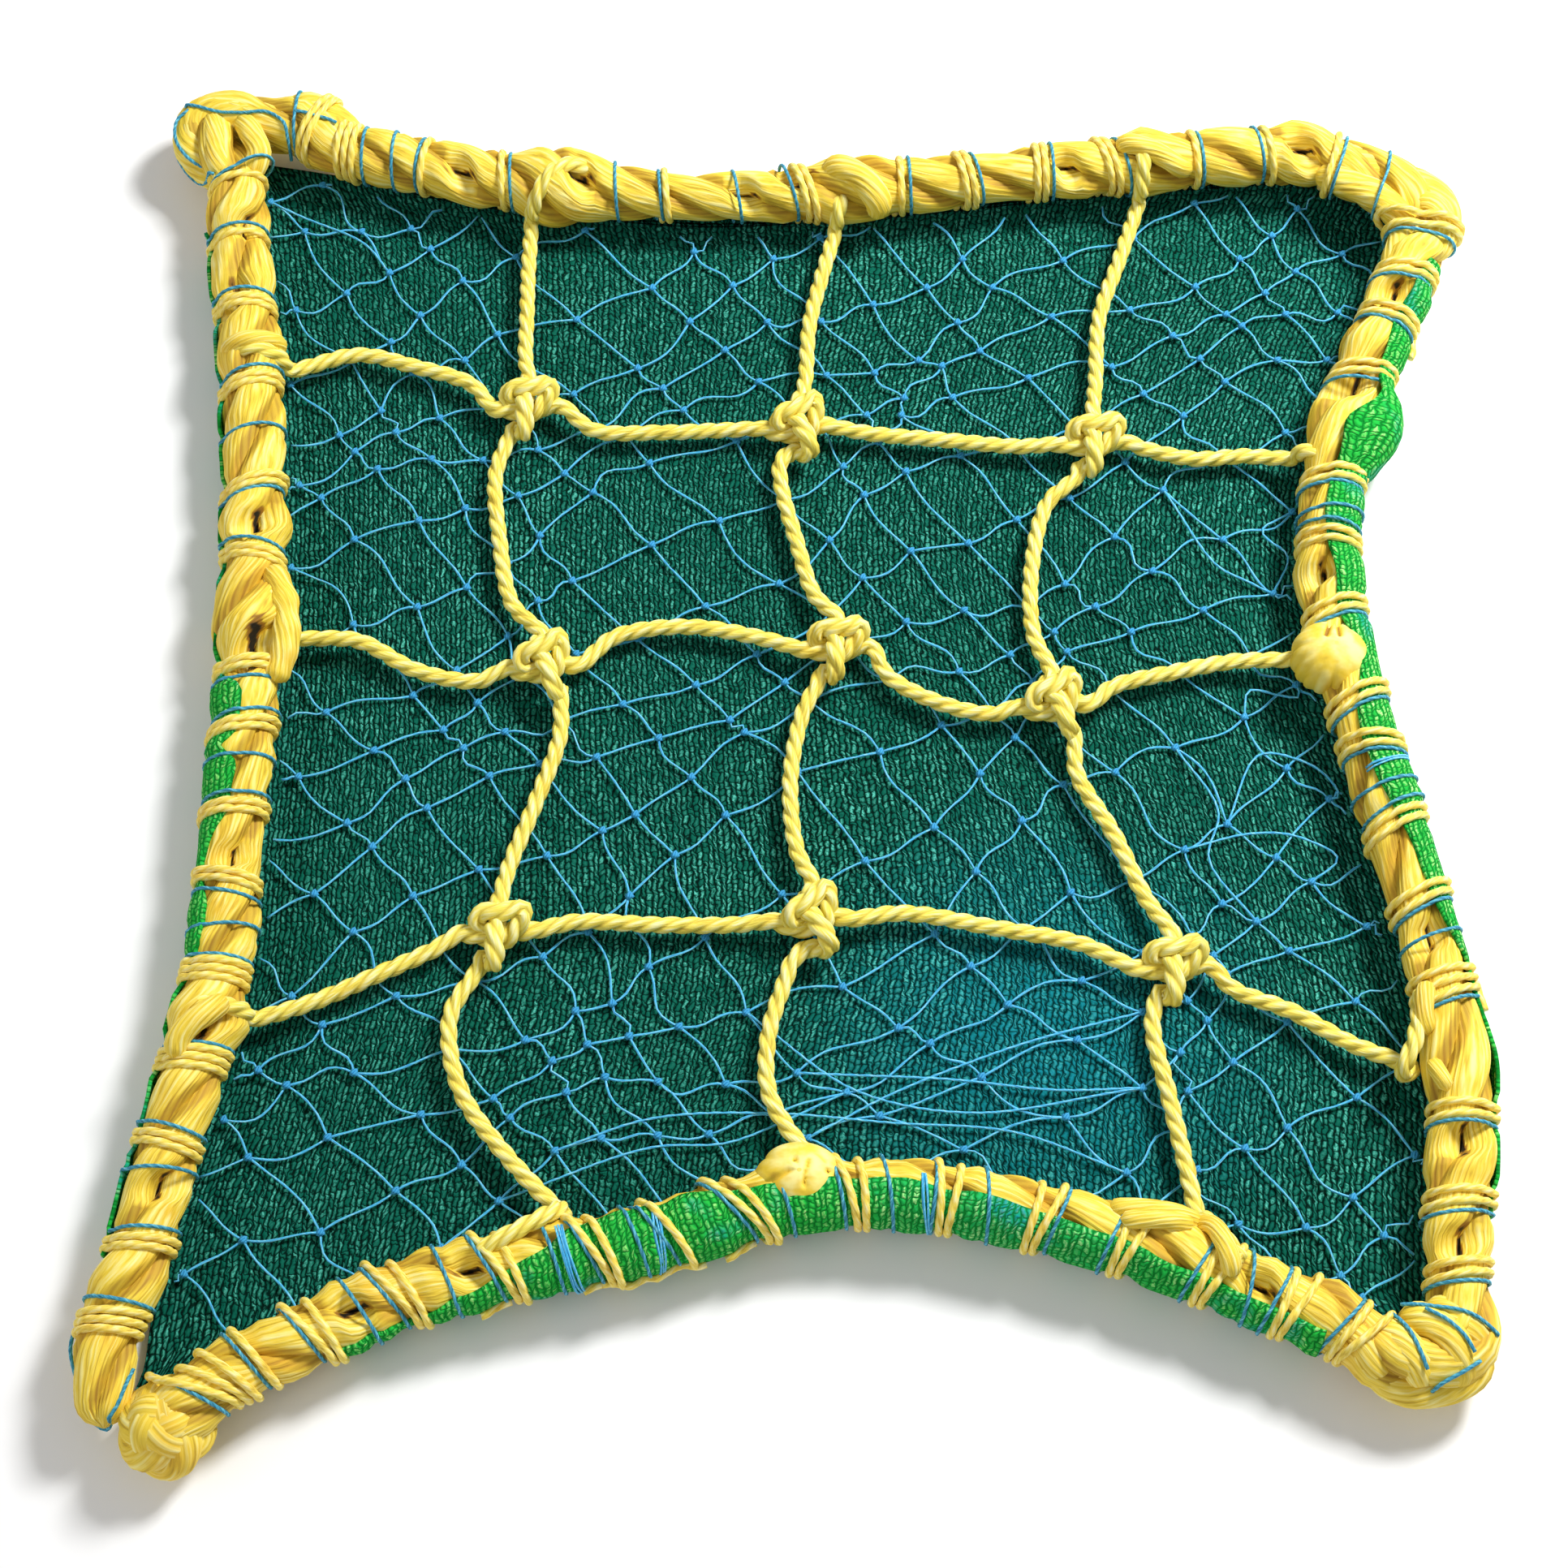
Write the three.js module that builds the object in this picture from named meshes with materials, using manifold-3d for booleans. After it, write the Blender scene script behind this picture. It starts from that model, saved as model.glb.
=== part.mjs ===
// Triple-layer safety net, laid out flat: green shade cloth hemmed round a thick border rope, fine blue
// netting on the cloth, and a net of yellow cord, knotted at nine crossings and hitched to the border. Twine
// is lashed round border and hem. Millimetres, +Z up, origin on the floor under the middle.
import * as THREE from 'three';
import { mergeVertices } from 'three/addons/utils/BufferGeometryUtils.js';
import { ConvexGeometry } from 'three/addons/geometries/ConvexGeometry.js';
import Module from 'manifold-3d';

const wasm = await Module();
wasm.setup();

// Driving sizes: shade cloth and its hem. Angles are degrees up from the outer side of the border rope.
const CLOTH_THICK = 1.2;
const CLOTH_CELLS = 18;
const EDGE_CELL = 0.035;
const EDGE_LIFTED = 6;
const CORNER_LIFT = 0.6;
const HEM_STEPS = 5;
const HEM_START = -112.5;
const HEM_FIRST_CELL = 2;

// Driving sizes: border rope and the twine round it
const ROPE_RADIUS = 9.8;
const ROPE_GROOVE = 0.72;
const ROPE_STRANDS = 3;
const ROPE_LAY = 81.2;
const HEM_GAP = 1.25;
const LASH_GAP = 0.5;
const LASH_THICK = 2.4;
const LASH_HALF_WIDTH = 3;
const LASH_SIDES = 8;

// Driving sizes: blue netting. It reaches so many knots each way from the middle, before it is cut off.
const NET_BAR = 29;
const NET_HALF_STRAND = 0.7;
const NET_THICK = 1.0;
const NET_KNOT = 1.0;
const NET_GAP = 1.2;
const NET_EDGE = 12;
const NET_SHORTEST_END = 4;
const NET_HEADINGS = [32, 127];
const NET_REACH = 14;
const NET_CUT_TRIES = 14;

// Driving sizes: yellow cord net
const CORD_SIZE = 6.2;
const CORD_RADIUS = 3.6;
const CORD_LAY = 32;
const CORD_STEP = 4.2;
const CORD_SAMPLES = 1200;
const CORD_GAP = 0.5;
const LINK_ROOT = 0.8;
const KNOT_LIFT = 1.0;
const HITCH_GAP = 0.35;

// Sizes that follow from those above
const HEM_INNER = ROPE_RADIUS + HEM_GAP;
const HEM_OUTER = HEM_INNER + CLOTH_THICK;
const LASH_INNER = HEM_OUTER + LASH_GAP;
const LASH_OUTER = LASH_INNER + LASH_THICK;
const BORDER_Z = LASH_OUTER;
const HITCH_RADIUS = ROPE_RADIUS + HITCH_GAP + CORD_RADIUS;

// Middle of the outline, in the frame of the tables below
const OUTLINE_MIDDLE = { x: -3.8, y: -0.9 };

// Where the cloth's corners lie
const CORNERS = {
  bottomLeft: new THREE.Vector2(-208, -226),
  topLeft: new THREE.Vector2(-211, 227),
  topRight: new THREE.Vector2(212, 209),
  bottomRight: new THREE.Vector2(183, -209),
};

// The four sides, clockwise. bows: how far the rope stands out from the straight line, at even steps.
// cover: how far the hem reaches up round the rope, in degrees above level, at even steps.
// lashes: places of the twine turns, in millimetres along the side. hemTo: last cell line with a hem.
const SIDES = {
  left: {
    from: 'bottomLeft',
    to: 'topLeft',
    bows: [-3, -12, -20, -21, -22, -21, -18, -13, -6],
    cover: [60, 58, 56, 50, 42, 32, 24, 16, 10],
    lashes: [47, 79, 105, 134, 165, 188, 217, 239, 280, 307, 346, 378, 406],
    hemTo: 16,
  },
  top: {
    from: 'topLeft',
    to: 'topRight',
    bows: [-6, -15, -19, -21, -17, -11, -4, 2, 6],
    cover: [8, 8, 14, 22, 26, 22, 14, 8, 8],
    lashes: [44, 72, 100, 158, 207, 241, 263, 290, 314, 345, 371],
    hemTo: 16,
  },
  right: {
    from: 'topRight',
    to: 'bottomRight',
    bows: [-6, -22, -33, -35, -27, -16, -5, 3, 1],
    cover: [40, 55, 62, 62, 60, 60, 64, 66, 66],
    lashes: [46, 66, 91, 134, 158, 184, 216, 233, 261, 287, 316, 356, 384],
    hemTo: 16,
  },
  bottom: {
    from: 'bottomRight',
    to: 'bottomLeft',
    bows: [-12, -31, -45, -54, -54, -44, -38, -29, -12],
    cover: [62, 64, 64, 62, 62, 66, 60, 58, 56],
    lashes: [49, 73, 100, 126, 155, 183, 217, 240, 262, 290, 321, 347],
    hemTo: 15,
  },
};

// One stretch of the bottom hem is pulled right over the rope
const HEM_PULLED = { side: 'bottom', at: 0.585, width: 0.05, more: 40 };

// How the border rope turns the corners and ends. size: share of the rope's radius. lift: above its level.
const ROPE_START = [
  { x: -210.5, y: -230, lift: 0, size: 0.55 },
  { x: -211.5, y: -221, lift: 0, size: 0.85 },
  { x: -212.5, y: -209, lift: 0, size: 1 },
  { x: -210.5, y: -197, lift: 0, size: 1 },
];
const ROPE_CORNERS = {
  left: [
    { x: -207, y: 203, lift: 0, size: 1 },
    { x: -215, y: 216, lift: 0, size: 1 },
    { x: -219.5, y: 229, lift: 0, size: 1.05 },
    { x: -210, y: 233, lift: 0, size: 1 },
    { x: -197, y: 230, lift: 0, size: 1.05 },
    { x: -184, y: 228, lift: 0, size: 1.2 },
  ],
  top: [
    { x: 184, y: 212.5, lift: 0, size: 1 },
    { x: 196, y: 205.5, lift: 0, size: 1.02 },
    { x: 206.5, y: 197.5, lift: 0, size: 1.08 },
    { x: 211, y: 188, lift: 0, size: 1.12 },
    { x: 208.5, y: 178.5, lift: 0, size: 1.02 },
  ],
  right: [
    { x: 186, y: -191, lift: 0, size: 1.05 },
    { x: 182.5, y: -207.5, lift: 0, size: 1.2 },
    { x: 165, y: -211, lift: 0, size: 1.15 },
  ],
  bottom: [
    { x: -177, y: -215, lift: 1, size: 0.9 },
    { x: -183, y: -221, lift: 2, size: 1.15 },
    { x: -189, y: -227, lift: 2.5, size: 1.4 },
    { x: -194, y: -233, lift: 2.5, size: 1.3 },
    { x: -198, y: -238.5, lift: 2, size: 0.7 },
  ],
};

// Soft ridges of the cloth: middle, heading in degrees, half length, half width and height
const FOLDS = [
  { x: 66, y: -112, heading: 14, length: 62, width: 34, height: 4.0 },
  { x: -70, y: -130, heading: -12, length: 60, width: 32, height: 3.4 },
  { x: -140, y: 70, heading: 82, length: 70, width: 30, height: 3.2 },
  { x: -40, y: 160, heading: 6, length: 80, width: 30, height: 3.4 },
  { x: 120, y: 60, heading: 70, length: 60, width: 32, height: 4.0 },
  { x: 130, y: 160, heading: -20, length: 60, width: 30, height: 3.0 },
  { x: -150, y: -70, heading: 100, length: 55, width: 30, height: 3.0 },
];
const FOLD_FLOOR = 0.6;

// Sways of the netting: along x and y, with wave lengths and start angle in degrees
const SWAYS = [
  { x: 5, y: 3, wave: 150, heading: 20, start: 30 },
  { x: -3, y: 5, wave: 110, heading: 100, start: 140 },
  { x: 4, y: -4, wave: 85, heading: 155, start: 250 },
];
// The netting is gathered towards the bottom and drawn out sideways there
const NET_GATHER = { x: 10, y: -95, wide: 85, deep: 50, pull: 22 };
const NET_STRETCH = { x: 30, y: -118, wide: 75, deep: 45, share: 0.35 };

// Crossings of the cords, and how far each knot is turned, in degrees
const KNOTS = [
  [{ x: -102, y: 118, turn: -40 }, { x: -9, y: 108, turn: 0 }, { x: 91, y: 102, turn: -40 }],
  [{ x: -94, y: 19, turn: 0 }, { x: 3, y: 24, turn: -40 }, { x: 74, y: 3, turn: 0 }],
  [{ x: -104, y: -76, turn: -40 }, { x: -5, y: -72, turn: 0 }, { x: 107, y: -88, turn: -40 }],
];

// The cords. start and end: where each is hitched to the border and which way its turn goes along it.
// bows: how far each bar strays to its left at its quarter, middle and three-quarter points.
const ROWS = [
  {
    start: { side: 'left', along: 356, way: 1 },
    end: { side: 'right', along: 125, way: -1 },
    bows: [[12, 10, 6], [-6, -5, -2], [0, -1, -2], [0, -3, 0]],
  },
  {
    start: { side: 'left', along: 254, way: 1 },
    end: { side: 'right', along: 196, way: 1 },
    bows: [[2, -6, -7], [10, 12, 6], [-4, -9, -8], [3, 4, 4]],
  },
  {
    start: { side: 'left', along: 124, way: -1 },
    end: { side: 'right', along: 340, way: -1 },
    bows: [[-1, 0, 2], [3, 1, 0], [7, 6, 4], [2, 3, 1]],
  },
];
const COLUMNS = [
  {
    start: { side: 'top', along: 112, way: 1 },
    end: { side: 'bottom', along: 271, way: 1 },
    bows: [[-1, -1, -1], [-12, -12, -9], [9, 5, 0], [-20, -22, -13]],
  },
  {
    start: { side: 'top', along: 217, way: 1 },
    end: { side: 'bottom', along: 196, way: 1 },
    bows: [[-2, -3, -1], [-9, -7, -4], [-9, -11, -7], [-8, -13, -12]],
  },
  {
    start: { side: 'top', along: 325, way: 1 },
    end: { side: 'bottom', along: 82, way: 1 },
    bows: [[-3, -6, -3], [-12, -14, -10], [-2, 1, 2], [-8, -5, -2]],
  },
];

// How the row cord and the column cord wind through a knot, in cord sizes from its middle
const ROW_PASS = [
  { x: -1.0, y: -0.1, z: 0.75 },
  { x: 0, y: 0.05, z: 0.8 },
  { x: 0.75, y: 0.55, z: 0.75 },
  { x: 1.15, y: 1.0, z: 0.95 },
  { x: 0.85, y: 1.25, z: 1.25 },
  { x: 0.5, y: 0.75, z: 1.55 },
  { x: 0.6, y: 0.1, z: 1.25 },
  { x: 1.1, y: -0.15, z: 0.8 },
];
const COLUMN_PASS = [
  { x: -0.1, y: 1.2, z: 0.55 },
  { x: -0.15, y: 0.3, z: 0.4 },
  { x: -0.6, y: -0.6, z: 0.45 },
  { x: -1.3, y: -0.55, z: 0.7 },
  { x: -1.5, y: 0.15, z: 1.25 },
  { x: -1.05, y: 0.75, z: 1.55 },
  { x: -0.35, y: 0.45, z: 1.95 },
  { x: 0.3, y: -0.25, z: 2.05 },
  { x: 0.95, y: -0.85, z: 1.75 },
  { x: 1.3, y: -1.25, z: 1.1 },
  { x: 0.9, y: -1.35, z: 0.6 },
  { x: 0.2, y: -0.95, z: 0.5 },
  { x: -0.25, y: -1.6, z: 0.5 },
];

// How a cord is hitched over the border rope: millimetres along it, and degrees up from its outer side
const HITCH_TURN = [
  { along: 0, angle: 196 },
  { along: 0, angle: 160 },
  { along: 0.5, angle: 126 },
  { along: 3, angle: 100 },
  { along: 7, angle: 100 },
  { along: 9.5, angle: 128 },
  { along: 9.5, angle: 164 },
  { along: 8.5, angle: 196 },
];

// Finishes
const FINISH = {
  shade_cloth: { color: 0x14533f, roughness: 0.9, metalness: 0 },
  mid_net: { color: 0x2f8fcb, roughness: 0.7, metalness: 0 },
  rope_net: { color: 0xf1d94f, roughness: 0.7, metalness: 0 },
  border_rope: { color: 0xe8b928, roughness: 0.8, metalness: 0 },
  lashing: { color: 0xf0d344, roughness: 0.7, metalness: 0 },
};

// Lines and frames along the border
const radians = THREE.MathUtils.degToRad;
const UP = new THREE.Vector3(0, 0, 1);

function sideCurve({ from, to, bows }) {
  const start = CORNERS[from];
  const run = CORNERS[to].clone().sub(start);
  const out = new THREE.Vector2(-run.y, run.x).normalize();
  const points = [start.clone()];
  bows.forEach((bow, k) => {
    const share = (k + 1) / (bows.length + 1);
    points.push(start.clone().addScaledVector(run, share).addScaledVector(out, bow));
  });
  points.push(CORNERS[to].clone());
  const lifted = points.map((p) => new THREE.Vector3(p.x, p.y, BORDER_Z));
  return new THREE.CatmullRomCurve3(lifted, false, 'centripetal');
}

const CURVES = {};
for (const name of Object.keys(SIDES)) {
  CURVES[name] = sideCurve(SIDES[name]);
}

// Share of a side at which cell line k runs: narrow first and last cells, even ones between
function cellLine(k) {
  if (k === 0 || k === CLOTH_CELLS) {
    return k / CLOTH_CELLS;
  }
  return EDGE_CELL + ((1 - 2 * EDGE_CELL) * (k - 1)) / (CLOTH_CELLS - 2);
}

function outwardOf(tangent) {
  return new THREE.Vector3(-tangent.y, tangent.x, 0).normalize();
}

// Frame of the border at cell line k of a side
function lineFrame(name, k) {
  const share = cellLine(k);
  const tangent = CURVES[name].getTangentAt(share);
  return { centre: CURVES[name].getPointAt(share), tangent, outward: outwardOf(tangent) };
}

// Frame of the border at a distance along a side, on the straight run between two cell lines
function borderFrame(name, along) {
  const share = along / CURVES[name].getLength();
  let k = 0;
  while (cellLine(k + 1) < share) {
    k += 1;
  }
  const a = CURVES[name].getPointAt(cellLine(k));
  const b = CURVES[name].getPointAt(cellLine(k + 1));
  const part = (share - cellLine(k)) / (cellLine(k + 1) - cellLine(k));
  const tangent = b.clone().sub(a).normalize();
  return { centre: a.lerp(b, part), tangent, outward: outwardOf(tangent) };
}

// Point of a border section: degrees up from its outer side, distance from its middle, shift along it
function sectionPoint(frame, angle, radius, shift = 0) {
  const turn = radians(angle);
  return frame.centre.clone()
    .addScaledVector(frame.outward, Math.cos(turn) * radius)
    .addScaledVector(UP, Math.sin(turn) * radius)
    .addScaledVector(frame.tangent, shift);
}

// How far the hem reaches up round the rope at a share of a side
function hemCover(name, share) {
  const table = SIDES[name].cover;
  const place = share * (table.length - 1);
  const k = Math.min(Math.floor(place), table.length - 2);
  const even = THREE.MathUtils.lerp(table[k], table[k + 1], place - k);
  if (name !== HEM_PULLED.side) {
    return even;
  }
  const away = (share - HEM_PULLED.at) / HEM_PULLED.width;
  return even + HEM_PULLED.more * Math.exp(-away * away);
}

// Heights of the layers
function foldHeight(x, y) {
  let height = 0;
  for (const fold of FOLDS) {
    const turn = radians(fold.heading);
    const dx = x - fold.x;
    const dy = y - fold.y;
    const along = (dx * Math.cos(turn) + dy * Math.sin(turn)) / fold.length;
    const across = (dy * Math.cos(turn) - dx * Math.sin(turn)) / fold.width;
    height += fold.height * Math.exp(-along * along - across * across);
  }
  return Math.max(0, height - FOLD_FLOOR);
}

const BORDER_LINE = [];
for (const name of Object.keys(SIDES)) {
  for (let k = 0; k < CLOTH_CELLS; k += 1) {
    BORDER_LINE.push(CURVES[name].getPointAt(cellLine(k)));
  }
}

function borderDistance(x, y) {
  const place = new THREE.Vector3(x, y, BORDER_Z);
  const nearest = new THREE.Vector3();
  let least = Infinity;
  BORDER_LINE.forEach((point, k) => {
    const next = BORDER_LINE[(k + 1) % BORDER_LINE.length];
    new THREE.Line3(point, next).closestPointToPoint(place, true, nearest);
    least = Math.min(least, nearest.distanceTo(place));
  });
  return least;
}

const EDGE_RISE = sectionPoint(lineFrame('left', HEM_FIRST_CELL), HEM_START, HEM_OUTER).z;
const EDGE_RUN = EDGE_CELL * CURVES.left.getLength();

function clothTop(x, y) {
  const fallen = (borderDistance(x, y) - EDGE_LIFTED) / EDGE_RUN;
  const rise = EDGE_RISE * THREE.MathUtils.clamp(1 - fallen, 0, 1);
  return Math.max(foldHeight(x, y), rise) + CLOTH_THICK;
}

function cordLevel(x, y) {
  return clothTop(x, y) + NET_GAP + NET_THICK + NET_KNOT + CORD_GAP + CORD_RADIUS;
}

// Meshes
function indexed(points, faces) {
  const geometry = new THREE.BufferGeometry().setFromPoints(points);
  geometry.setIndex(faces);
  return geometry;
}

// Closed body through rings of points, each ring convex and counter-clockwise about the way it travels
function loft(rings) {
  const sides = rings[0].length;
  const points = rings.flat();
  const last = points.length - sides;
  const faces = [];
  for (let k = 0; k < sides; k += 1) {
    const next = (k + 1) % sides;
    for (let r = 0; r < last; r += sides) {
      faces.push(r + k, r + next, r + sides + next, r + k, r + sides + next, r + sides + k);
    }
  }
  for (let k = 1; k + 1 < sides; k += 1) {
    faces.push(0, k + 1, k, last, last + k, last + k + 1);
  }
  return indexed(points, faces);
}

// A sheet with two faces: points in pairs, quads counter-clockwise from above, rims closed at the end
class Sheet {
  constructor() {
    this.under = [];
    this.over = [];
    this.faces = [];
    this.peaks = [];
  }

  point(under, over) {
    this.under.push(under);
    this.over.push(over);
    return this.under.length - 1;
  }

  quad(a, b, c, d) {
    this.faces.push({ ring: [a, b, c], peak: false }, { ring: [a, c, d], peak: false });
  }

  // A quad whose upper face is drawn up to a peak
  knot(a, b, c, d, top) {
    this.faces.push({ ring: [a, b, c], peak: true }, { ring: [a, c, d], peak: true });
    this.peaks.push({ ring: [a, b, c, d], top });
  }

  geometry() {
    const count = this.over.length;
    const points = [...this.over, ...this.under];
    const faces = [];
    const edges = new Set();
    for (const { ring: [a, b, c], peak } of this.faces) {
      faces.push(c + count, b + count, a + count);
      edges.add(`${a} ${b}`).add(`${b} ${c}`).add(`${c} ${a}`);
      if (!peak) {
        faces.push(a, b, c);
      }
    }
    for (const { ring, top } of this.peaks) {
      points.push(top);
      ring.forEach((corner, k) => faces.push(corner, ring[(k + 1) % ring.length], points.length - 1));
    }
    for (const edge of edges) {
      const [a, b] = edge.split(' ').map(Number);
      if (!edges.has(`${b} ${a}`)) {
        faces.push(a + count, b + count, b, a + count, b, a);
      }
    }
    return indexed(points, faces);
  }
}

function toSolid(geometry) {
  const mesh = new wasm.Mesh({
    numProp: 3,
    vertProperties: Float32Array.from(geometry.attributes.position.array),
    triVerts: Uint32Array.from(geometry.index.array),
  });
  return new wasm.Manifold(mesh);
}

// All pieces joined into one body, without the pockets that a knot closes off inside itself
function joined(geometries) {
  let solid = toSolid(geometries[0]);
  for (const geometry of geometries.slice(1)) {
    solid = solid.add(toSolid(geometry));
  }
  const [body] = solid.decompose().sort((a, b) => b.volume() - a.volume());
  const mesh = body.getMesh();
  const geometry = new THREE.BufferGeometry();
  geometry.setAttribute('position', new THREE.BufferAttribute(Float32Array.from(mesh.vertProperties), 3));
  geometry.setIndex(new THREE.BufferAttribute(Uint32Array.from(mesh.triVerts), 1));
  return geometry;
}

// Shade cloth: a sheet between the four sides, its edges turned up round the rope
function shadeCloth() {
  const sheet = new Sheet();
  const last = CLOTH_CELLS;
  const at = (name, share) => CURVES[name].getPointAt(share);

  function inside(i, j) {
    const u = cellLine(i);
    const v = cellLine(j);
    const { bottomLeft, bottomRight, topLeft, topRight } = CORNERS;
    const across = at('bottom', 1 - u).multiplyScalar(1 - v).addScaledVector(at('top', u), v);
    const up = at('left', v).multiplyScalar(1 - u).addScaledVector(at('right', 1 - v), u);
    const x = bottomLeft.x * (1 - u) * (1 - v) + bottomRight.x * u * (1 - v)
      + topLeft.x * (1 - u) * v + topRight.x * u * v;
    const y = bottomLeft.y * (1 - u) * (1 - v) + bottomRight.y * u * (1 - v)
      + topLeft.y * (1 - u) * v + topRight.y * u * v;
    return new THREE.Vector2(across.x + up.x - x, across.y + up.y - y);
  }

  function layer(place, under) {
    const low = new THREE.Vector3(place.x, place.y, under);
    return sheet.point(low, low.clone().addScaledVector(UP, CLOTH_THICK));
  }

  function turned(name, k, angle) {
    const frame = lineFrame(name, k);
    return sheet.point(sectionPoint(frame, angle, HEM_OUTER), sectionPoint(frame, angle, HEM_INNER));
  }

  function gridPoint(i, j) {
    const onSide = i === 0 || i === last;
    const onEnd = j === 0 || j === last;
    const place = inside(i, j);
    if (onSide && onEnd) {
      return layer(place, CORNER_LIFT);
    }
    if (onSide) {
      return i === 0 ? turned('left', j, HEM_START) : turned('right', last - j, HEM_START);
    }
    if (onEnd) {
      return j === last ? turned('top', i, HEM_START) : turned('bottom', last - i, HEM_START);
    }
    return layer(place, foldHeight(place.x, place.y));
  }

  const grid = [];
  for (let i = 0; i <= last; i += 1) {
    grid.push([]);
    for (let j = 0; j <= last; j += 1) {
      grid[i].push(gridPoint(i, j));
    }
  }
  for (let i = 0; i < last; i += 1) {
    for (let j = 0; j < last; j += 1) {
      sheet.quad(grid[i][j], grid[i + 1][j], grid[i + 1][j + 1], grid[i][j + 1]);
    }
  }

  const edge = {
    left: (k) => grid[0][k],
    top: (k) => grid[k][last],
    right: (k) => grid[last][last - k],
    bottom: (k) => grid[last - k][0],
  };
  for (const name of Object.keys(SIDES)) {
    let before = null;
    for (let k = HEM_FIRST_CELL; k <= SIDES[name].hemTo; k += 1) {
      const reach = hemCover(name, cellLine(k)) - HEM_START;
      const strip = [edge[name](k)];
      for (let step = 1; step <= HEM_STEPS; step += 1) {
        strip.push(turned(name, k, HEM_START + (reach * step) / HEM_STEPS));
      }
      for (let step = 0; before && step < HEM_STEPS; step += 1) {
        sheet.quad(before[step + 1], before[step], strip[step], strip[step + 1]);
      }
      before = strip;
    }
  }
  return sheet.geometry();
}

// Blue netting: a lattice of knots and bars, swayed, gathered at the bottom and cut off at the border
function middleNet() {
  const sheet = new Sheet();
  const middle = new THREE.Vector2();
  const [first, second] = NET_HEADINGS.map((heading) => {
    const bar = new THREE.Vector2(NET_BAR, 0);
    return bar.rotateAround(middle, radians(heading));
  });
  const loop = BORDER_LINE.map((p) => new THREE.Vector2(p.x, p.y));

  function lattice(i, j) {
    const p = first.clone().multiplyScalar(i).addScaledVector(second, j);
    const moved = p.clone();
    for (const sway of SWAYS) {
      const heading = radians(sway.heading);
      const run = p.x * Math.cos(heading) + p.y * Math.sin(heading);
      const wave = Math.sin((2 * Math.PI * run) / sway.wave + radians(sway.start));
      moved.x += sway.x * wave;
      moved.y += sway.y * wave;
    }
    const dx = (moved.x - NET_GATHER.x) / NET_GATHER.wide;
    const dy = (moved.y - NET_GATHER.y) / NET_GATHER.deep;
    moved.y -= NET_GATHER.pull * Math.exp(-dx * dx - dy * dy);
    const sx = (moved.x - NET_STRETCH.x) / NET_STRETCH.wide;
    const sy = (moved.y - NET_STRETCH.y) / NET_STRETCH.deep;
    moved.x += NET_STRETCH.share * NET_STRETCH.wide * sx * Math.exp(-sx * sx - sy * sy);
    return moved;
  }

  function covered(p) {
    let within = false;
    loop.forEach((a, k) => {
      const b = loop[(k + 1) % loop.length];
      if (a.y > p.y !== b.y > p.y && p.x < a.x + ((b.x - a.x) * (p.y - a.y)) / (b.y - a.y)) {
        within = !within;
      }
    });
    return within && borderDistance(p.x, p.y) > NET_EDGE;
  }

  function pair(p) {
    const under = clothTop(p.x, p.y) + NET_GAP;
    return sheet.point(new THREE.Vector3(p.x, p.y, under), new THREE.Vector3(p.x, p.y, under + NET_THICK));
  }

  const inside = new Map();
  for (let i = -NET_REACH; i <= NET_REACH; i += 1) {
    for (let j = -NET_REACH; j <= NET_REACH; j += 1) {
      const place = lattice(i, j);
      if (covered(place)) {
        inside.set(`${i} ${j}`, { i, j, place });
      }
    }
  }

  for (const knot of inside.values()) {
    const along = lattice(knot.i + 1, knot.j).sub(lattice(knot.i - 1, knot.j)).normalize();
    const across = lattice(knot.i, knot.j + 1).sub(lattice(knot.i, knot.j - 1)).normalize();
    const corner = (a, b) => pair(knot.place.clone()
      .addScaledVector(along, a * NET_HALF_STRAND)
      .addScaledVector(across, b * NET_HALF_STRAND));
    knot.upper = corner(1, 1);
    knot.left = corner(-1, 1);
    knot.lower = corner(-1, -1);
    knot.right = corner(1, -1);
    const { x, y } = knot.place;
    const top = new THREE.Vector3(x, y, clothTop(x, y) + NET_GAP + NET_THICK + NET_KNOT);
    sheet.knot(knot.right, knot.upper, knot.left, knot.lower, top);
  }

  // Where a bar that leaves the net meets the border, as the points right and left of its run
  function cutEnd(knot, di, dj) {
    const near = knot.place.clone();
    const far = lattice(knot.i + di, knot.j + dj);
    const run = far.clone().sub(near).normalize();
    for (let k = 0; k < NET_CUT_TRIES; k += 1) {
      const half = near.clone().add(far).multiplyScalar(0.5);
      (covered(half) ? near : far).copy(half);
    }
    if (near.distanceTo(knot.place) < NET_SHORTEST_END) {
      return null;
    }
    const side = new THREE.Vector2(-run.y, run.x).multiplyScalar(NET_HALF_STRAND);
    return { right: pair(near.clone().sub(side)), left: pair(near.clone().add(side)) };
  }

  const bars = [
    { di: 1, dj: 0, from: ['right', 'upper'], to: ['lower', 'left'] },
    { di: 0, dj: 1, from: ['upper', 'left'], to: ['right', 'lower'] },
    { di: -1, dj: 0, from: ['left', 'lower'], to: null },
    { di: 0, dj: -1, from: ['lower', 'right'], to: null },
  ];
  for (const knot of inside.values()) {
    for (const { di, dj, from: [right, left], to } of bars) {
      const next = inside.get(`${knot.i + di} ${knot.j + dj}`);
      if (next && to) {
        sheet.quad(knot[right], next[to[0]], next[to[1]], knot[left]);
      }
      const end = next ? null : cutEnd(knot, di, dj);
      if (end) {
        sheet.quad(knot[right], end.right, end.left, knot[left]);
      }
    }
  }
  return sheet.geometry();
}

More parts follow.
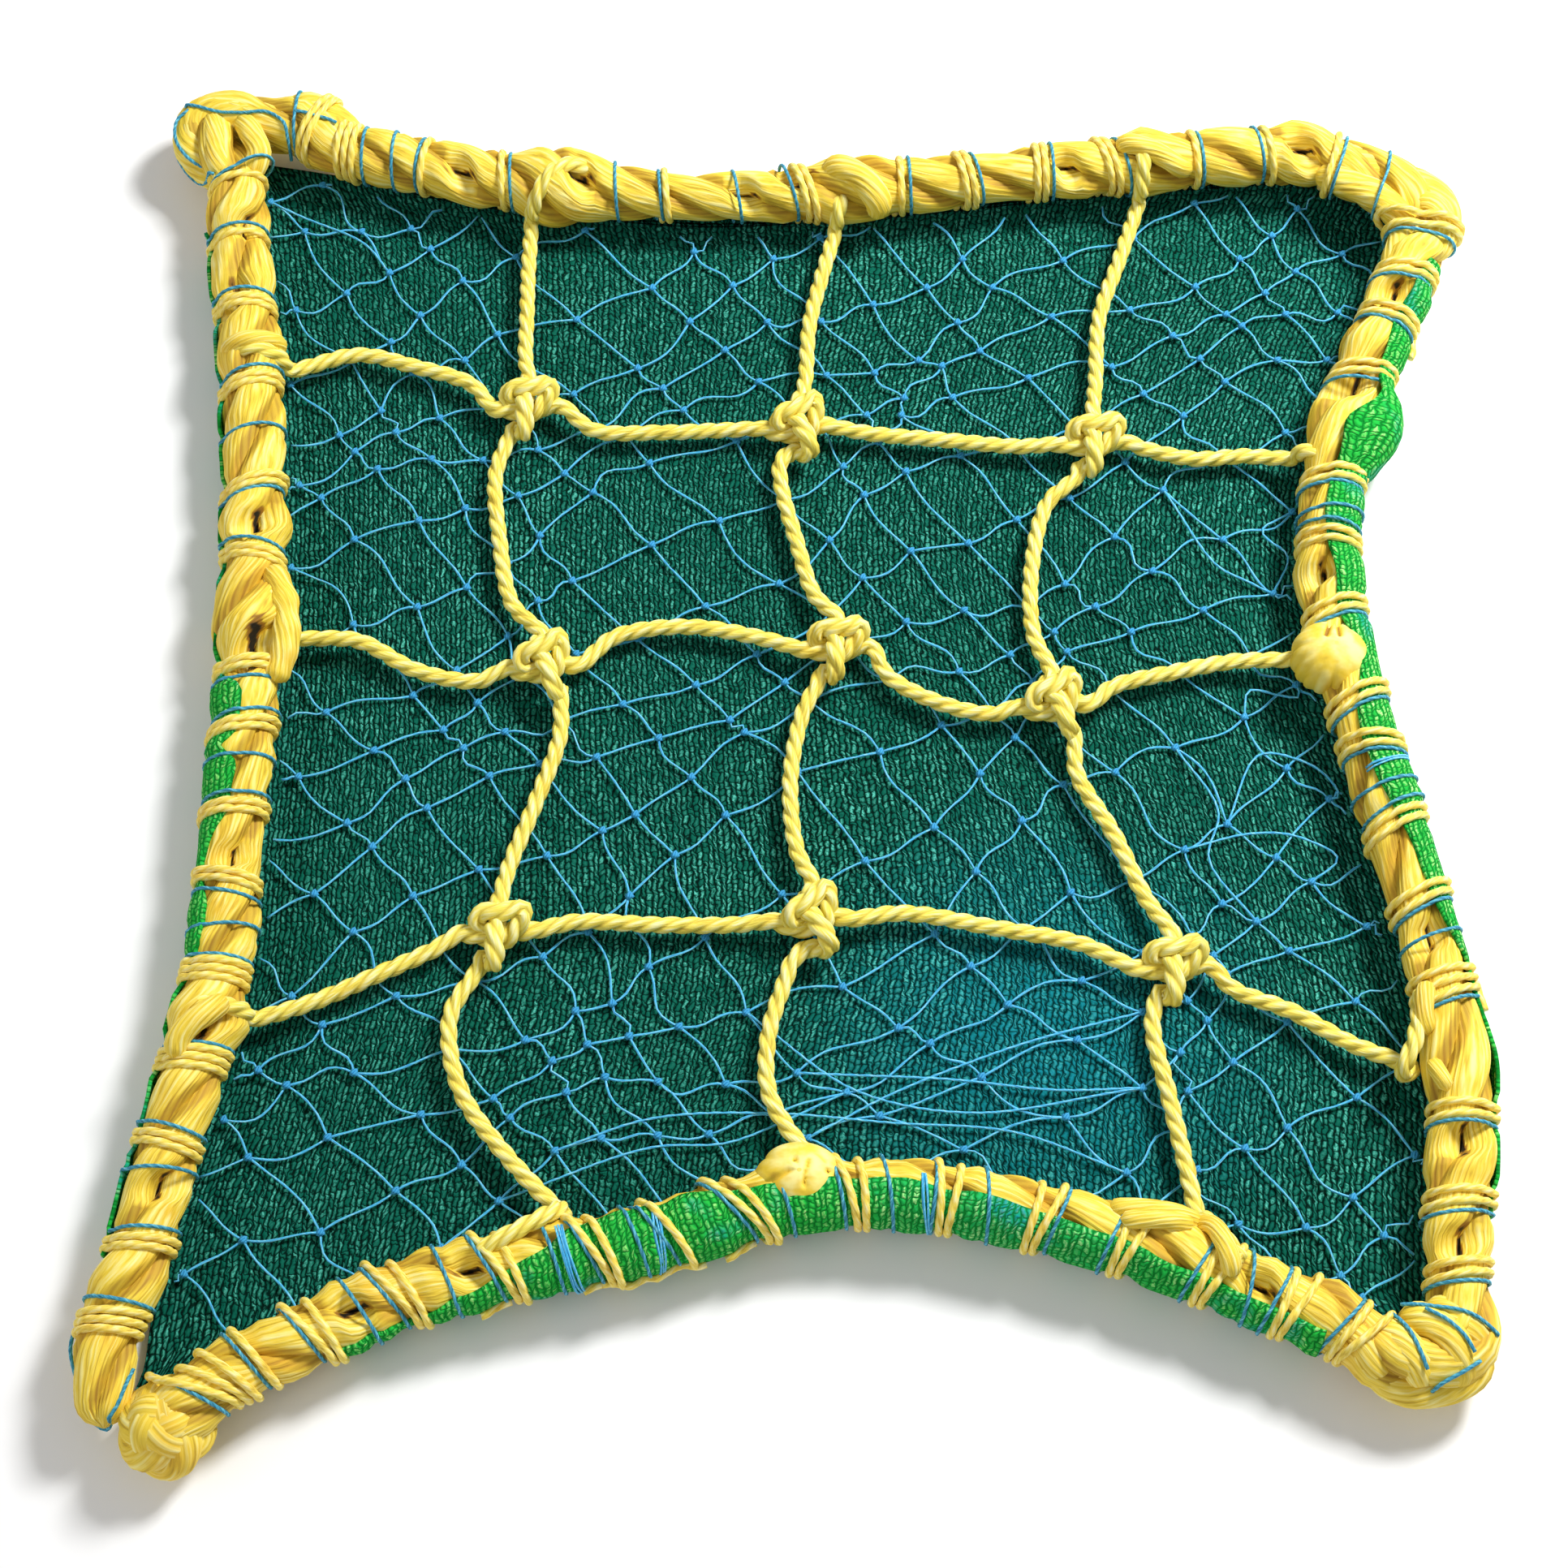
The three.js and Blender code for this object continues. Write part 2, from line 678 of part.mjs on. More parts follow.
// Border rope: three soft strands round all sides, with a plain end and a knotted end at one corner
function borderRope() {
  const route = ROPE_START.map((row) => ({ ...row }));
  for (const name of Object.keys(SIDES)) {
    for (let k = HEM_FIRST_CELL; k <= CLOTH_CELLS - HEM_FIRST_CELL; k += 1) {
      const { x, y } = lineFrame(name, k).centre;
      route.push({ x, y, lift: 0, size: 1 });
    }
    route.push(...ROPE_CORNERS[name]);
  }
  const stops = route.map((row) => ({
    place: new THREE.Vector3(row.x, row.y, BORDER_Z + row.lift),
    radius: ROPE_RADIUS * row.size,
  }));

  const rings = [];
  let run = 0;
  function ring(centre, tangent, radius) {
    const frame = { centre, tangent, outward: outwardOf(tangent) };
    const points = [];
    for (let k = 0; k < 2 * ROPE_STRANDS; k += 1) {
      const angle = (360 * run) / ROPE_LAY + (180 * k) / ROPE_STRANDS;
      points.push(sectionPoint(frame, angle, k % 2 ? radius * ROPE_GROOVE : radius));
    }
    rings.push(points);
  }
  stops.forEach(({ place, radius }, k) => {
    const before = stops[Math.max(k - 1, 0)].place;
    const next = stops[Math.min(k + 1, stops.length - 1)];
    ring(place, next.place.clone().sub(before).normalize(), radius);
    if (next.place === place) {
      return;
    }
    const halfWay = place.clone().lerp(next.place, 0.5);
    const heading = next.place.clone().sub(place).normalize();
    const half = place.distanceTo(halfWay);
    run += half;
    ring(halfWay, heading, (radius + next.radius) / 2);
    run += half;
  });
  return loft(rings);
}

// One lashing: twine wound tight round rope and hem, its two ends hidden where it goes through the cloth
function lashing(name, along) {
  const step = 360 / LASH_SIDES;
  const grow = 1 / Math.cos(radians(step / 2));
  const frame = borderFrame(name, along);
  const bareFrom = hemCover(name, along / CURVES[name].getLength()) + step;
  const rings = [];
  for (let k = 0; k < LASH_SIDES; k += 1) {
    const angle = HEM_START + step * k;
    const inner = angle > bareFrom ? ROPE_RADIUS + LASH_GAP : LASH_INNER;
    rings.push([
      sectionPoint(frame, angle, inner * grow, -LASH_HALF_WIDTH),
      sectionPoint(frame, angle, inner * grow, LASH_HALF_WIDTH),
      sectionPoint(frame, angle, (inner + LASH_THICK) * grow, 0),
    ]);
  }
  return loft(rings);
}

// Cord net: three rows and three columns of twisted cord, joined where they knot
function hitchPoints({ side, along, way }) {
  return HITCH_TURN.map((row) => {
    const frame = borderFrame(side, along + way * row.along);
    return sectionPoint(frame, row.angle, HITCH_RADIUS);
  });
}

function knotPoints(knot, pass) {
  const level = cordLevel(knot.x, knot.y) - CORD_RADIUS + KNOT_LIFT;
  return pass.map(({ x, y, z }) => {
    const place = new THREE.Vector3(x, y, z).multiplyScalar(CORD_SIZE).applyAxisAngle(UP, radians(knot.turn));
    return place.add(new THREE.Vector3(knot.x, knot.y, level));
  });
}

function barPoints(from, to, bows) {
  const run = new THREE.Vector2(to.x - from.x, to.y - from.y);
  const left = new THREE.Vector2(-run.y, run.x).normalize();
  return bows.map((bow, k) => {
    const share = (k + 1) / (bows.length + 1);
    const x = from.x + run.x * share + left.x * bow;
    const y = from.y + run.y * share + left.y * bow;
    return new THREE.Vector3(x, y, cordLevel(x, y));
  });
}

function cordRoute(cord, knots, pass) {
  const start = hitchPoints(cord.start).reverse();
  const end = hitchPoints(cord.end);
  const stops = [start[start.length - 1], ...knots, end[0]];
  const route = [...start];
  cord.bows.forEach((bows, k) => {
    route.push(...barPoints(stops[k], stops[k + 1], bows));
    route.push(...(k < knots.length ? knotPoints(knots[k], pass) : end));
  });
  return new THREE.CatmullRomCurve3(route, false, 'centripetal');
}

// Links of a twisted cord of three strands, one for each step along its route. Each link has a root that
// reaches back into the link before it.
function cordLinks(route) {
  route.arcLengthDivisions = CORD_SAMPLES;
  const length = route.getLength();
  const steps = Math.round(length / CORD_STEP);
  const normal = UP.clone();
  const rings = [];
  const roots = [];
  for (let k = 0; k <= steps; k += 1) {
    const centre = route.getPointAt(k / steps);
    const tangent = route.getTangentAt(k / steps);
    normal.addScaledVector(tangent, -normal.dot(tangent)).normalize();
    const side = tangent.clone().cross(normal);
    const points = [];
    for (let strand = 0; strand < ROPE_STRANDS; strand += 1) {
      const angle = 2 * Math.PI * ((length * k) / steps / CORD_LAY + strand / ROPE_STRANDS);
      points.push(centre.clone()
        .addScaledVector(normal, Math.cos(angle) * CORD_RADIUS)
        .addScaledVector(side, Math.sin(angle) * CORD_RADIUS));
    }
    rings.push(points);
    roots.push(centre.addScaledVector(tangent, -LINK_ROOT));
  }
  const links = [];
  for (let k = 0; k < steps; k += 1) {
    const hull = new ConvexGeometry([...rings[k], ...rings[k + 1], roots[k]]);
    hull.deleteAttribute('normal');
    links.push(mergeVertices(hull));
  }
  return links;
}

function ropeNet() {
  const links = [];
  ROWS.forEach((cord, r) => links.push(...cordLinks(cordRoute(cord, KNOTS[r], ROW_PASS))));
  COLUMNS.forEach((cord, c) => {
    const knots = KNOTS.map((row) => row[c]);
    links.push(...cordLinks(cordRoute(cord, knots, COLUMN_PASS)));
  });
  return joined(links);
}

// The part, moved so that its origin lies under the middle of its outline
const group = new THREE.Group();
group.position.set(-OUTLINE_MIDDLE.x, -OUTLINE_MIDDLE.y, 0);

function place(name, geometry, finish) {
  geometry.computeVertexNormals();
  const mesh = new THREE.Mesh(geometry, new THREE.MeshStandardMaterial(finish));
  mesh.name = name;
  group.add(mesh);
}

place('shade_cloth', shadeCloth(), FINISH.shade_cloth);
place('mid_net', middleNet(), FINISH.mid_net);
place('rope_net', ropeNet(), FINISH.rope_net);
place('border_rope', borderRope(), FINISH.border_rope);
for (const name of Object.keys(SIDES)) {
  SIDES[name].lashes.forEach((along, k) => {
    place(`lash_${name}_${k + 1}`, lashing(name, along), FINISH.lashing);
  });
}

export default group;
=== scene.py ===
"""Triple-layer safety net laid out flat, dressed around its solids.

Green shade cloth is hemmed round a thick border rope, fine blue netting lies on the cloth, and a net
of yellow cord is knotted at nine crossings and hitched to the border. Yellow and blue twine is lashed
round rope and hem. Lengths are in millimetres in the frame of the laid-out net, and angles in degrees,
unless a docstring says otherwise. The meshes are in metres in the shared frame.
"""
import logging
from dataclasses import dataclass, field, replace
from enum import Enum
from typing import Any, Sequence

import bmesh
import bpy
import numpy as np
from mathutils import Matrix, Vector
from mathutils.bvhtree import BVHTree


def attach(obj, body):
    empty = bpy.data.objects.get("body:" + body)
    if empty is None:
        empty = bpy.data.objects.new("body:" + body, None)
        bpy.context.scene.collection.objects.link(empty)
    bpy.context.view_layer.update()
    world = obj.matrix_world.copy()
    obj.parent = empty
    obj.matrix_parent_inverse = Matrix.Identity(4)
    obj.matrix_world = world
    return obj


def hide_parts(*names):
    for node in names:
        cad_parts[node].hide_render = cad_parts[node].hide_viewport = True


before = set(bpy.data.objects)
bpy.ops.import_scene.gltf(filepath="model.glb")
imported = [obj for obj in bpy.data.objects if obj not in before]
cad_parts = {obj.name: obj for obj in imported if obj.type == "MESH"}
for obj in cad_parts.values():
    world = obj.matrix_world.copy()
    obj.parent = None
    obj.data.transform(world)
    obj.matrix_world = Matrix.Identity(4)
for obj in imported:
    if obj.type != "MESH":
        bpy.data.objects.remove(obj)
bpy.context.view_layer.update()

LOG = logging.getLogger("safety_net")

Array = np.ndarray
Colour = tuple[float, float, float, float]
Place = tuple[float, float, float]
Route = tuple[Place, ...]
Piece = bpy.types.Object
Socket = bpy.types.NodeSocket
Inputs = dict[int | str, Any]

MM = 0.001
TINY = 1e-9
UP = np.array((0.0, 0.0, 1.0))
TABLE_TO_PART = np.array((3.8, 0.9, 0.0))
SEED = 7

CLOTH_THICK = 1.2
EDGE_CELL = 0.035
EDGE_STEPS = 16
EDGE_STEP = (1 - 2 * EDGE_CELL) / EDGE_STEPS
HEM_START = -112.5
HEM_MIDDLE = 11.65
BORDER_Z = 15.15
ROPE_RADIUS = 9.8
NET_LEVEL = 1.7
PLAN_TURN = 170.0
CORD_RADIUS = 3.6
CORD_SIZE = 6.2
CORD_LEVEL = 6.5
END_LEAST = 0.08


class Side(Enum):
    """The four sides of the border, in the order in which the rope runs round."""

    LEFT = "left"
    TOP = "top"
    RIGHT = "right"
    BOTTOM = "bottom"


class Slot(Enum):
    """Names of the material slots."""

    CLOTH = "cloth_green"
    NET = "net_blue"
    CORD = "cord_yellow"
    ROPE = "rope_yellow"
    TWINE = "twine_yellow"


@dataclass(frozen=True)
class SideSizes:
    """One side of the border: its corners, its bows from the straight line and the reach of its hem.

    The reach is in degrees above the outer side, at places along the side. The turns of its lashings lie
    a pitch apart on the inner side and come together on the outer side. A bulge of the hem has its place
    along the side, half its length, its angle, half its width in degrees, and its height.
    """

    start: tuple[float, float]
    end: tuple[float, float]
    bows: tuple[float, ...]
    cover: tuple[tuple[float, float], ...]
    hem_from: float = EDGE_CELL + EDGE_STEP
    hem_to: float = 1 - EDGE_CELL - EDGE_STEP
    pitch: float = 2.9
    converge: float = 0.9
    bulge: tuple[float, float, float, float, float] = (0, 10, 30, 60, 0)


BOTTOM_LEFT = (-208.0, -226.0)
TOP_LEFT = (-211.0, 227.0)
TOP_RIGHT = (212.0, 209.0)
BOTTOM_RIGHT = (183.0, -209.0)

SIDES: dict[Side, SideSizes] = {
    Side.LEFT: SideSizes(
        BOTTOM_LEFT, TOP_LEFT,
        bows=(-3, -12, -20, -21, -22, -21, -18, -13, -6),
        cover=(
            (40, 18), (120, 24), (134, 34), (141, 60), (156, 62), (166, 40), (178, 55), (187, 88), (203, 94),
            (209, 62), (214, 84), (230, 88), (237, 34), (250, 14), (420, 8),
        ),
    ),
    Side.TOP: SideSizes(
        TOP_LEFT, TOP_RIGHT,
        bows=(-6, -15, -19, -21, -17, -11, -4, 2, 6),
        cover=((40, -25), (400, -25)),
    ),
    Side.RIGHT: SideSizes(
        TOP_RIGHT, BOTTOM_RIGHT,
        bows=(-6, -22, -33, -35, -27, -16, -5, 3, 1),
        cover=(
            (40, 55), (60, 74), (86, 66), (98, 58), (108, 70), (116, 88), (124, 88), (150, 106), (170, 90),
            (190, 86), (205, 72), (222, 108), (246, 110), (258, 92), (272, 82), (290, 76), (304, 42),
            (318, 18), (400, 12),
        ),
        pitch=4.4,
        converge=0.75,
        bulge=(111, 16, 18, 70, 7.5),
    ),
    Side.BOTTOM: SideSizes(
        BOTTOM_RIGHT, BOTTOM_LEFT,
        bows=(-12, -31, -45, -54, -54, -44, -38, -29, -12),
        cover=(
            (30, 58), (66, 58), (88, 66), (112, 74), (140, 88), (168, 94), (185, 98), (199, 104), (212, 102),
            (222, 112), (232, 128), (262, 130), (270, 118), (279, 84), (297, 50), (310, 36), (322, 18),
            (340, 32), (352, 16), (380, 10),
        ),
        hem_to=1 - EDGE_CELL - 2 * EDGE_STEP,
        pitch=7.0,
        converge=0.37,
    ),
}

# How the rope turns the corners and ends: x, y, lift above its level, and share of its radius
ROPE_START = (
    (-210.5, -231.5, 0, 0.64), (-211.5, -222, 0, 0.8), (-212.5, -209, 0, 0.92), (-210.5, -197, 0, 1),
)
ROPE_CORNERS: dict[Side, tuple[tuple[float, ...], ...]] = {
    Side.LEFT: (
        (-207, 203, 0, 1), (-215, 216, 0, 1), (-219.5, 229, 0, 1), (-210, 233, 0, 0.95),
        (-197, 230, 0, 0.95), (-184, 228, 0, 1.1),
    ),
    Side.TOP: (
        (184, 212.5, 0, 1), (196, 205.5, 0, 1), (206.5, 197.5, 0, 1.02), (211, 188, 0, 1.06),
        (208.5, 178.5, 0, 1),
    ),
    Side.RIGHT: ((185, -191, 0, 0.96), (182.5, -207.5, 0, 1.1), (165, -211, 0, 1.05)),
    Side.BOTTOM: (
        (-177, -216.5, 1, 1), (-183, -222.5, 2, 1), (-189, -228, 2, 0.92), (-194, -233, 1, 0.8),
        (-198, -238.5, 0, 0.5),
    ),
}


@dataclass(frozen=True)
class Lash:
    """One lashing: its place along a side, its turns of yellow twine and the blue turn beside it."""

    along: float
    turns: int = 2
    slant: float = 0.0
    blue: float = 4.5


LASHES: dict[Side, tuple[Lash, ...]] = {
    Side.LEFT: (
        Lash(47, 2, 1), Lash(79, 2, -1), Lash(105, 3, 1), Lash(134, 3, 0), Lash(165, 2, -2, -5),
        Lash(188, 2, 1), Lash(217, 2, 2), Lash(239, 2, 1, -5), Lash(280, 2, -2), Lash(307, 2, 2, -4),
        Lash(346, 2, 1, 5), Lash(378, 2, -1), Lash(406, 1, 0, 3),
    ),
    Side.TOP: (
        Lash(44, 3, 1, 6), Lash(72, 1, 0, -2.6), Lash(100, 1, 1, 2.6), Lash(158, 1, 1, -2.6),
        Lash(206, 2, 2, -5), Lash(241, 1, -1, 2.6), Lash(263, 2, 1), Lash(290, 2, -1), Lash(314, 2, 2, 5),
        Lash(345, 1, 0, 2.6), Lash(371, 1, 1, -2.6),
    ),
    Side.RIGHT: (
        Lash(46, 2, 1), Lash(66, 2, -1), Lash(91, 2, 2, 5), Lash(134, 2, 1), Lash(158, 2, -1, -5),
        Lash(184, 2, 1), Lash(216, 2, 2), Lash(233, 2, -2), Lash(261, 2, 2, -5), Lash(287, 2, 2),
        Lash(316, 3, 1, 6), Lash(356, 2, 0), Lash(384, 2, 1),
    ),
    Side.BOTTOM: (
        Lash(49, 2, -3), Lash(73, 2, -3), Lash(100, 2, -3), Lash(126, 2, -3, -4.5), Lash(155, 2, -1),
        Lash(183, 2, 1), Lash(217, 2, 5, 5), Lash(240, 1, 4), Lash(262, 2, 4), Lash(290, 2, 3),
        Lash(321, 2, 3), Lash(347, 2, 2),
    ),
}

# Lashings at the corners, where the rope alone is bound
CORNER_LASHES: dict[Side, tuple[Lash, ...]] = {
    Side.LEFT: (Lash(23, 3, 1, 6), Lash(430, 1, 0, 3)),
    Side.TOP: (Lash(28, 2, 1, -5), Lash(396, 1, 1, 3)),
    Side.RIGHT: (Lash(26, 2, 2, 5), Lash(405, 2, 1, 5)),
    Side.BOTTOM: (Lash(28, 2, -3, 5), Lash(366, 1, 2, 3), Lash(381, 3, 3, 7)),
}

# A blue turn that goes round alone at a corner
CORNER_BLUE: dict[Side, tuple[Lash, ...]] = {Side.TOP: (Lash(417, 1, 3.3),)}

# Places along the sides where a blue turn goes round alone
BLUE_TURNS: dict[Side, tuple[float, ...]] = {
    Side.LEFT: (70, 148, 206, 327),
    Side.TOP: (60, 140, 183),
    Side.RIGHT: (148, 249, 300),
    Side.BOTTOM: (63, 143, 173, 205, 250, 275, 307, 334),
}


@dataclass(frozen=True)
class Slit:
    """A gap between two strands of the rope: its place along a side, its angle and its size."""

    along: float
    angle: float
    half_length: float
    width: float


SLITS: dict[Side, tuple[Slit, ...]] = {
    Side.LEFT: (
        Slit(66, 115, 5, 2.8), Slit(116, 100, 7, 3.4), Slit(173, 110, 4, 2.2), Slit(245, 108, 9, 4.8),
        Slit(291, 104, 5, 4.5), Slit(381, 62, 7, 3.6), Slit(411, 128, 5, 3.1),
    ),
    Side.TOP: (
        Slit(86, 120, 5, 2.2), Slit(128, 96, 5, 2.2), Slit(186, 120, 5, 2.8), Slit(203, 70, 7, 3.4),
        Slit(300, 120, 4, 2.2), Slit(384, 112, 6, 2.8),
    ),
    Side.RIGHT: (
        Slit(57, 104, 5, 3.9), Slit(98, 104, 8, 4.8), Slit(172, 120, 4, 2.5), Slit(300, 100, 5, 2.8),
        Slit(366, 90, 6, 3.9), Slit(398, 92, 5, 3.6),
    ),
    Side.BOTTOM: (Slit(60, 80, 5, 2.8), Slit(300, 84, 5, 2.5), Slit(336, 80, 5, 2.5)),
}


@dataclass(frozen=True)
class Swell:
    """A stretch of a side on which the rope stands out, as where a cord is tucked in, or is thinner."""

    along: float
    half_length: float
    more: float


SWELLS: dict[Side, tuple[Swell, ...]] = {
    Side.LEFT: (
        Swell(70, 30, -0.9), Swell(116, 14, 2.6), Swell(182, 28, -0.9), Swell(252, 15, 2.6),
        Swell(272, 45, 0.6), Swell(292, 9, 1.4), Swell(356, 9, 0.8), Swell(386, 14, 1.2),
    ),
    Side.TOP: (
        Swell(122, 15, 3.8), Swell(158, 18, -2.2), Swell(180, 26, -1.3), Swell(221, 13, 1.8),
        Swell(275, 26, -1.6), Swell(324, 12, 1.6), Swell(384, 9, 1.0),
    ),
    Side.RIGHT: (
        Swell(78, 8, 1.0), Swell(109, 10, 1.6), Swell(222, 24, -1.6), Swell(304, 40, -1.7),
        Swell(338, 12, 0.8),
    ),
    Side.BOTTOM: (
        Swell(40, 12, 1.6), Swell(88, 12, 0.6), Swell(284, 12, 1.2), Swell(332, 13, 2.2),
        Swell(376, 10, 1.6),
    ),
}


class Spline:
    """Smooth curve through given points, read by the distance along it.

    The first three columns of a point are its place, and any others change along with it.
    """

    SAMPLES = 24
    REACH = 0.4

    def __init__(self, points: Sequence[Sequence[float]] | Array) -> None:
        """Work out the places of the curve.

        Args:
            points: rows of x, y and z, with or without further columns.
        """
        knots = np.asarray(points, float)
        first = 2 * knots[0] - knots[1]
        last = 2 * knots[-1] - knots[-2]
        rows = np.vstack((first, knots, last))
        gaps = np.sqrt(np.linalg.norm(np.diff(rows[:, :3], axis=0), axis=1))[:, None]
        p0, p1, p2, p3 = rows[:-3], rows[1:-2], rows[2:-1], rows[3:]
        g0, g1, g2 = gaps[:-2], gaps[1:-1], gaps[2:]
        leave = g1 * ((p1 - p0) / g0 - (p2 - p0) / (g0 + g1) + (p2 - p1) / g1)
        arrive = g1 * ((p2 - p1) / g1 - (p3 - p1) / (g1 + g2) + (p3 - p2) / g2)
        t = (np.arange(self.SAMPLES) / self.SAMPLES)[None, :, None]
        p1, p2, leave, arrive = (part[:, None, :] for part in (p1, p2, leave, arrive))
        square = 3 * (p2 - p1) - 2 * leave - arrive
        cube = 2 * (p1 - p2) + leave + arrive
        places = p1 + leave * t + square * t**2 + cube * t**3
        self.rows = np.vstack((places.reshape(-1, knots.shape[1]), knots[-1]))
        steps = np.linalg.norm(np.diff(self.rows[:, :3], axis=0), axis=1)
        self.runs = np.concatenate(([0.0], np.cumsum(steps)))

    @property
    def length(self) -> float:
        """Length of the curve."""
        return float(self.runs[-1])

    def at(self, runs: Array | float) -> Array:
        """Rows of the curve at distances along it, with as many columns as the points had."""
        places = np.atleast_1d(np.asarray(runs, float))
        return np.stack([np.interp(places, self.runs, column) for column in self.rows.T], axis=-1)

    def headings(self, runs: Array | float) -> Array:
        """Unit vectors along the curve at distances along it."""
        behind, ahead = (np.clip(np.add(runs, step), 0, self.length) for step in (-self.REACH, self.REACH))
        return unit(self.at(ahead)[:, :3] - self.at(behind)[:, :3])

    def nearest(self, place: Array) -> float:
        """Distance along the curve of its point nearest to a place."""
        return float(self.runs[np.argmin(np.linalg.norm(self.rows[:, :3] - place, axis=1))])


def unit(vectors: Array) -> Array:
    """Scale the vectors in the rows of an array to a length of one."""
    return vectors / np.maximum(np.linalg.norm(vectors, axis=-1, keepdims=True), TINY)


def smooth(low: float, high: float, values: Array | float) -> Array:
    """Soft step from 0 where the values are low to 1 where they are high."""
    share = np.clip((np.asarray(values, float) - low) / (high - low), 0, 1)
    return share * share * (3 - 2 * share)


def waves(values: Array, lengths: Sequence[float], start: float) -> Array:
    """Uneven but repeatable heights from about -1 to 1, of wave lengths and a start in radians."""
    total = sum(np.sin(2 * np.pi * values / size + start * (k + 1)) for k, size in enumerate(lengths))
    return total / len(lengths)


def neighbours(values: Array, reach: int) -> Array:
    """Values with those up to a reach to either side of them, one row for each of these."""
    padded = np.pad(values, reach, mode="edge")
    return np.stack([padded[k:k + len(values)] for k in range(2 * reach + 1)])


@dataclass
class Sections:
    """Cross sections along the border: the middle, the heading and the outer side of each."""

    centre: Array
    heading: Array
    outward: Array

    def points(self, angles: Array, radii: Array, shifts: Array | float = 0.0) -> Array:
        """Points round the sections.

        Args:
            angles: degrees up from the outer side, one row for each section or one row for all.
            radii: distances from the middle.
            shifts: distances along the heading.

        Returns:
            An array of section, point and coordinate.
        """
        turn = np.radians(np.atleast_2d(angles))
        radius = np.atleast_2d(radii)
        out = (np.cos(turn) * radius)[..., None] * self.outward[:, None]
        rise = (np.sin(turn) * radius)[..., None] * UP
        move = np.atleast_2d(shifts)[..., None] * self.heading[:, None]
        return self.centre[:, None] + out + rise + move


class Border:
    """The line of the border, and how thick rope and hem stand round it."""

    FULL = 10.5
    UNEVEN = 0.6
    WAVES = (71, 43, 29)
    WAVE_START = 1.3
    TIED = 0.84
    BLUE_TIED = 0.91
    TIE_SLOPE = 0.42
    BLUE_HALF = 0.5
    HEM_GAP = 0.15
    HEM_LOOSE = 1.0
    HEM_FADE = (-4.0, 12.0)

    def __init__(self) -> None:
        """Lay the four sides and the rope's loop through their points."""
        self.sides = {side: self._side_line(sizes) for side, sizes in SIDES.items()}
        route = [(x, y, BORDER_Z + lift, size) for x, y, lift, size in ROPE_START]
        shares = EDGE_CELL + (1 - 2 * EDGE_CELL) * np.arange(1, EDGE_STEPS) / EDGE_STEPS
        for side, line in self.sides.items():
            route += [(x, y, z, 1.0) for x, y, z in line.at(shares * line.length)]
            route += [(x, y, BORDER_Z + lift, size) for x, y, lift, size in ROPE_CORNERS[side]]
        self.loop = Spline(route)
        self.ties = np.array(self._ties())
        self.swells = [(self.run_of(side, swell.along), swell) for side in Side for swell in SWELLS[side]]
        self.slits = [(self.run_of(side, slit.along), slit) for side in Side for slit in SLITS[side]]

    def _ties(self) -> list[Place]:
        """Find where the rope is bound.

        Returns:
            Rows of distance along the loop, half the width and share of the radius that is left.
        """
        rows = []
        for side in Side:
            for lash in LASHES[side] + CORNER_LASHES[side]:
                half = SIDES[side].pitch * SIDES[side].converge * lash.turns / 2
                rows.append((self.run_of(side, lash.along), half, self.TIED))
                rows.append((self.run_of(side, lash.along + lash.blue), self.BLUE_HALF, self.BLUE_TIED))
            for along in BLUE_TURNS[side]:
                rows.append((self.run_of(side, along), self.BLUE_HALF, self.BLUE_TIED))
        return rows

    @staticmethod
    def _side_line(sizes: SideSizes) -> Spline:
        """Lay one side from corner to corner.

        Args:
            sizes: the side's corners and bows.

        Returns:
            The side's curve.
        """
        start = np.array(sizes.start)
        run = np.array(sizes.end) - start
        out = unit(np.array((-run[1], run[0])))
        shares = np.arange(len(sizes.bows) + 2) / (len(sizes.bows) + 1)
        bows = np.array((0, *sizes.bows, 0))
        plan = start + run * shares[:, None] + out * bows[:, None]
        return Spline(np.column_stack((plan, np.full(len(plan), BORDER_Z))))

    def run_of(self, side: Side, along: float) -> float:
        """Distance along the rope's loop of a place on a side."""
        return self.loop.nearest(self.sides[side].at(along)[0])

    @staticmethod
    def sections(line: Spline, runs: Array | float) -> Sections:
        """Cross sections of a side or of the loop, at distances along it."""
        heading = line.headings(runs)
        return Sections(line.at(runs)[:, :3], heading, unit(np.cross(UP, heading)))

    def section_at(self, side: Side, along: float) -> Sections:
        """Cross section of the loop at a place on a side."""
        return self.sections(self.loop, self.run_of(side, along))

    def round_side(self, side: Side, start: float, rows: Route, way: int = 1) -> Array:
        """Places round a side, from rows of distance along it past a start, angle and radius."""
        along, angle, radius = np.array(rows, float).T[..., None]
        return self.sections(self.sides[side], start + way * along[:, 0]).points(angle, radius)[:, 0]

    def radius(self, runs: Array) -> Array:
        """Radius of the untied rope: uneven, and swollen at the hitches.

        Args:
            runs: distances along the loop.

        Returns:
            One radius for each distance.
        """
        full = self.FULL + self.UNEVEN * waves(runs, self.WAVES, self.WAVE_START)
        for run, swell in self.swells:
            full += swell.more * np.exp(-(((runs - run) / swell.half_length) ** 2))
        return full * self.loop.at(runs)[:, 3]

    def tied(self, runs: Array) -> Array:
        """Radius within which the bindings hold the rope.

        Args:
            runs: distances along the loop.

        Returns:
            One radius for each distance, least at the bindings and growing away from them.
        """
        at, half, share = self.ties.T
        beyond = np.maximum(np.abs(runs[:, None] - at) - half, 0)
        return (self.FULL * share + self.TIE_SLOPE * beyond).min(axis=1) * self.loop.at(runs)[:, 3]

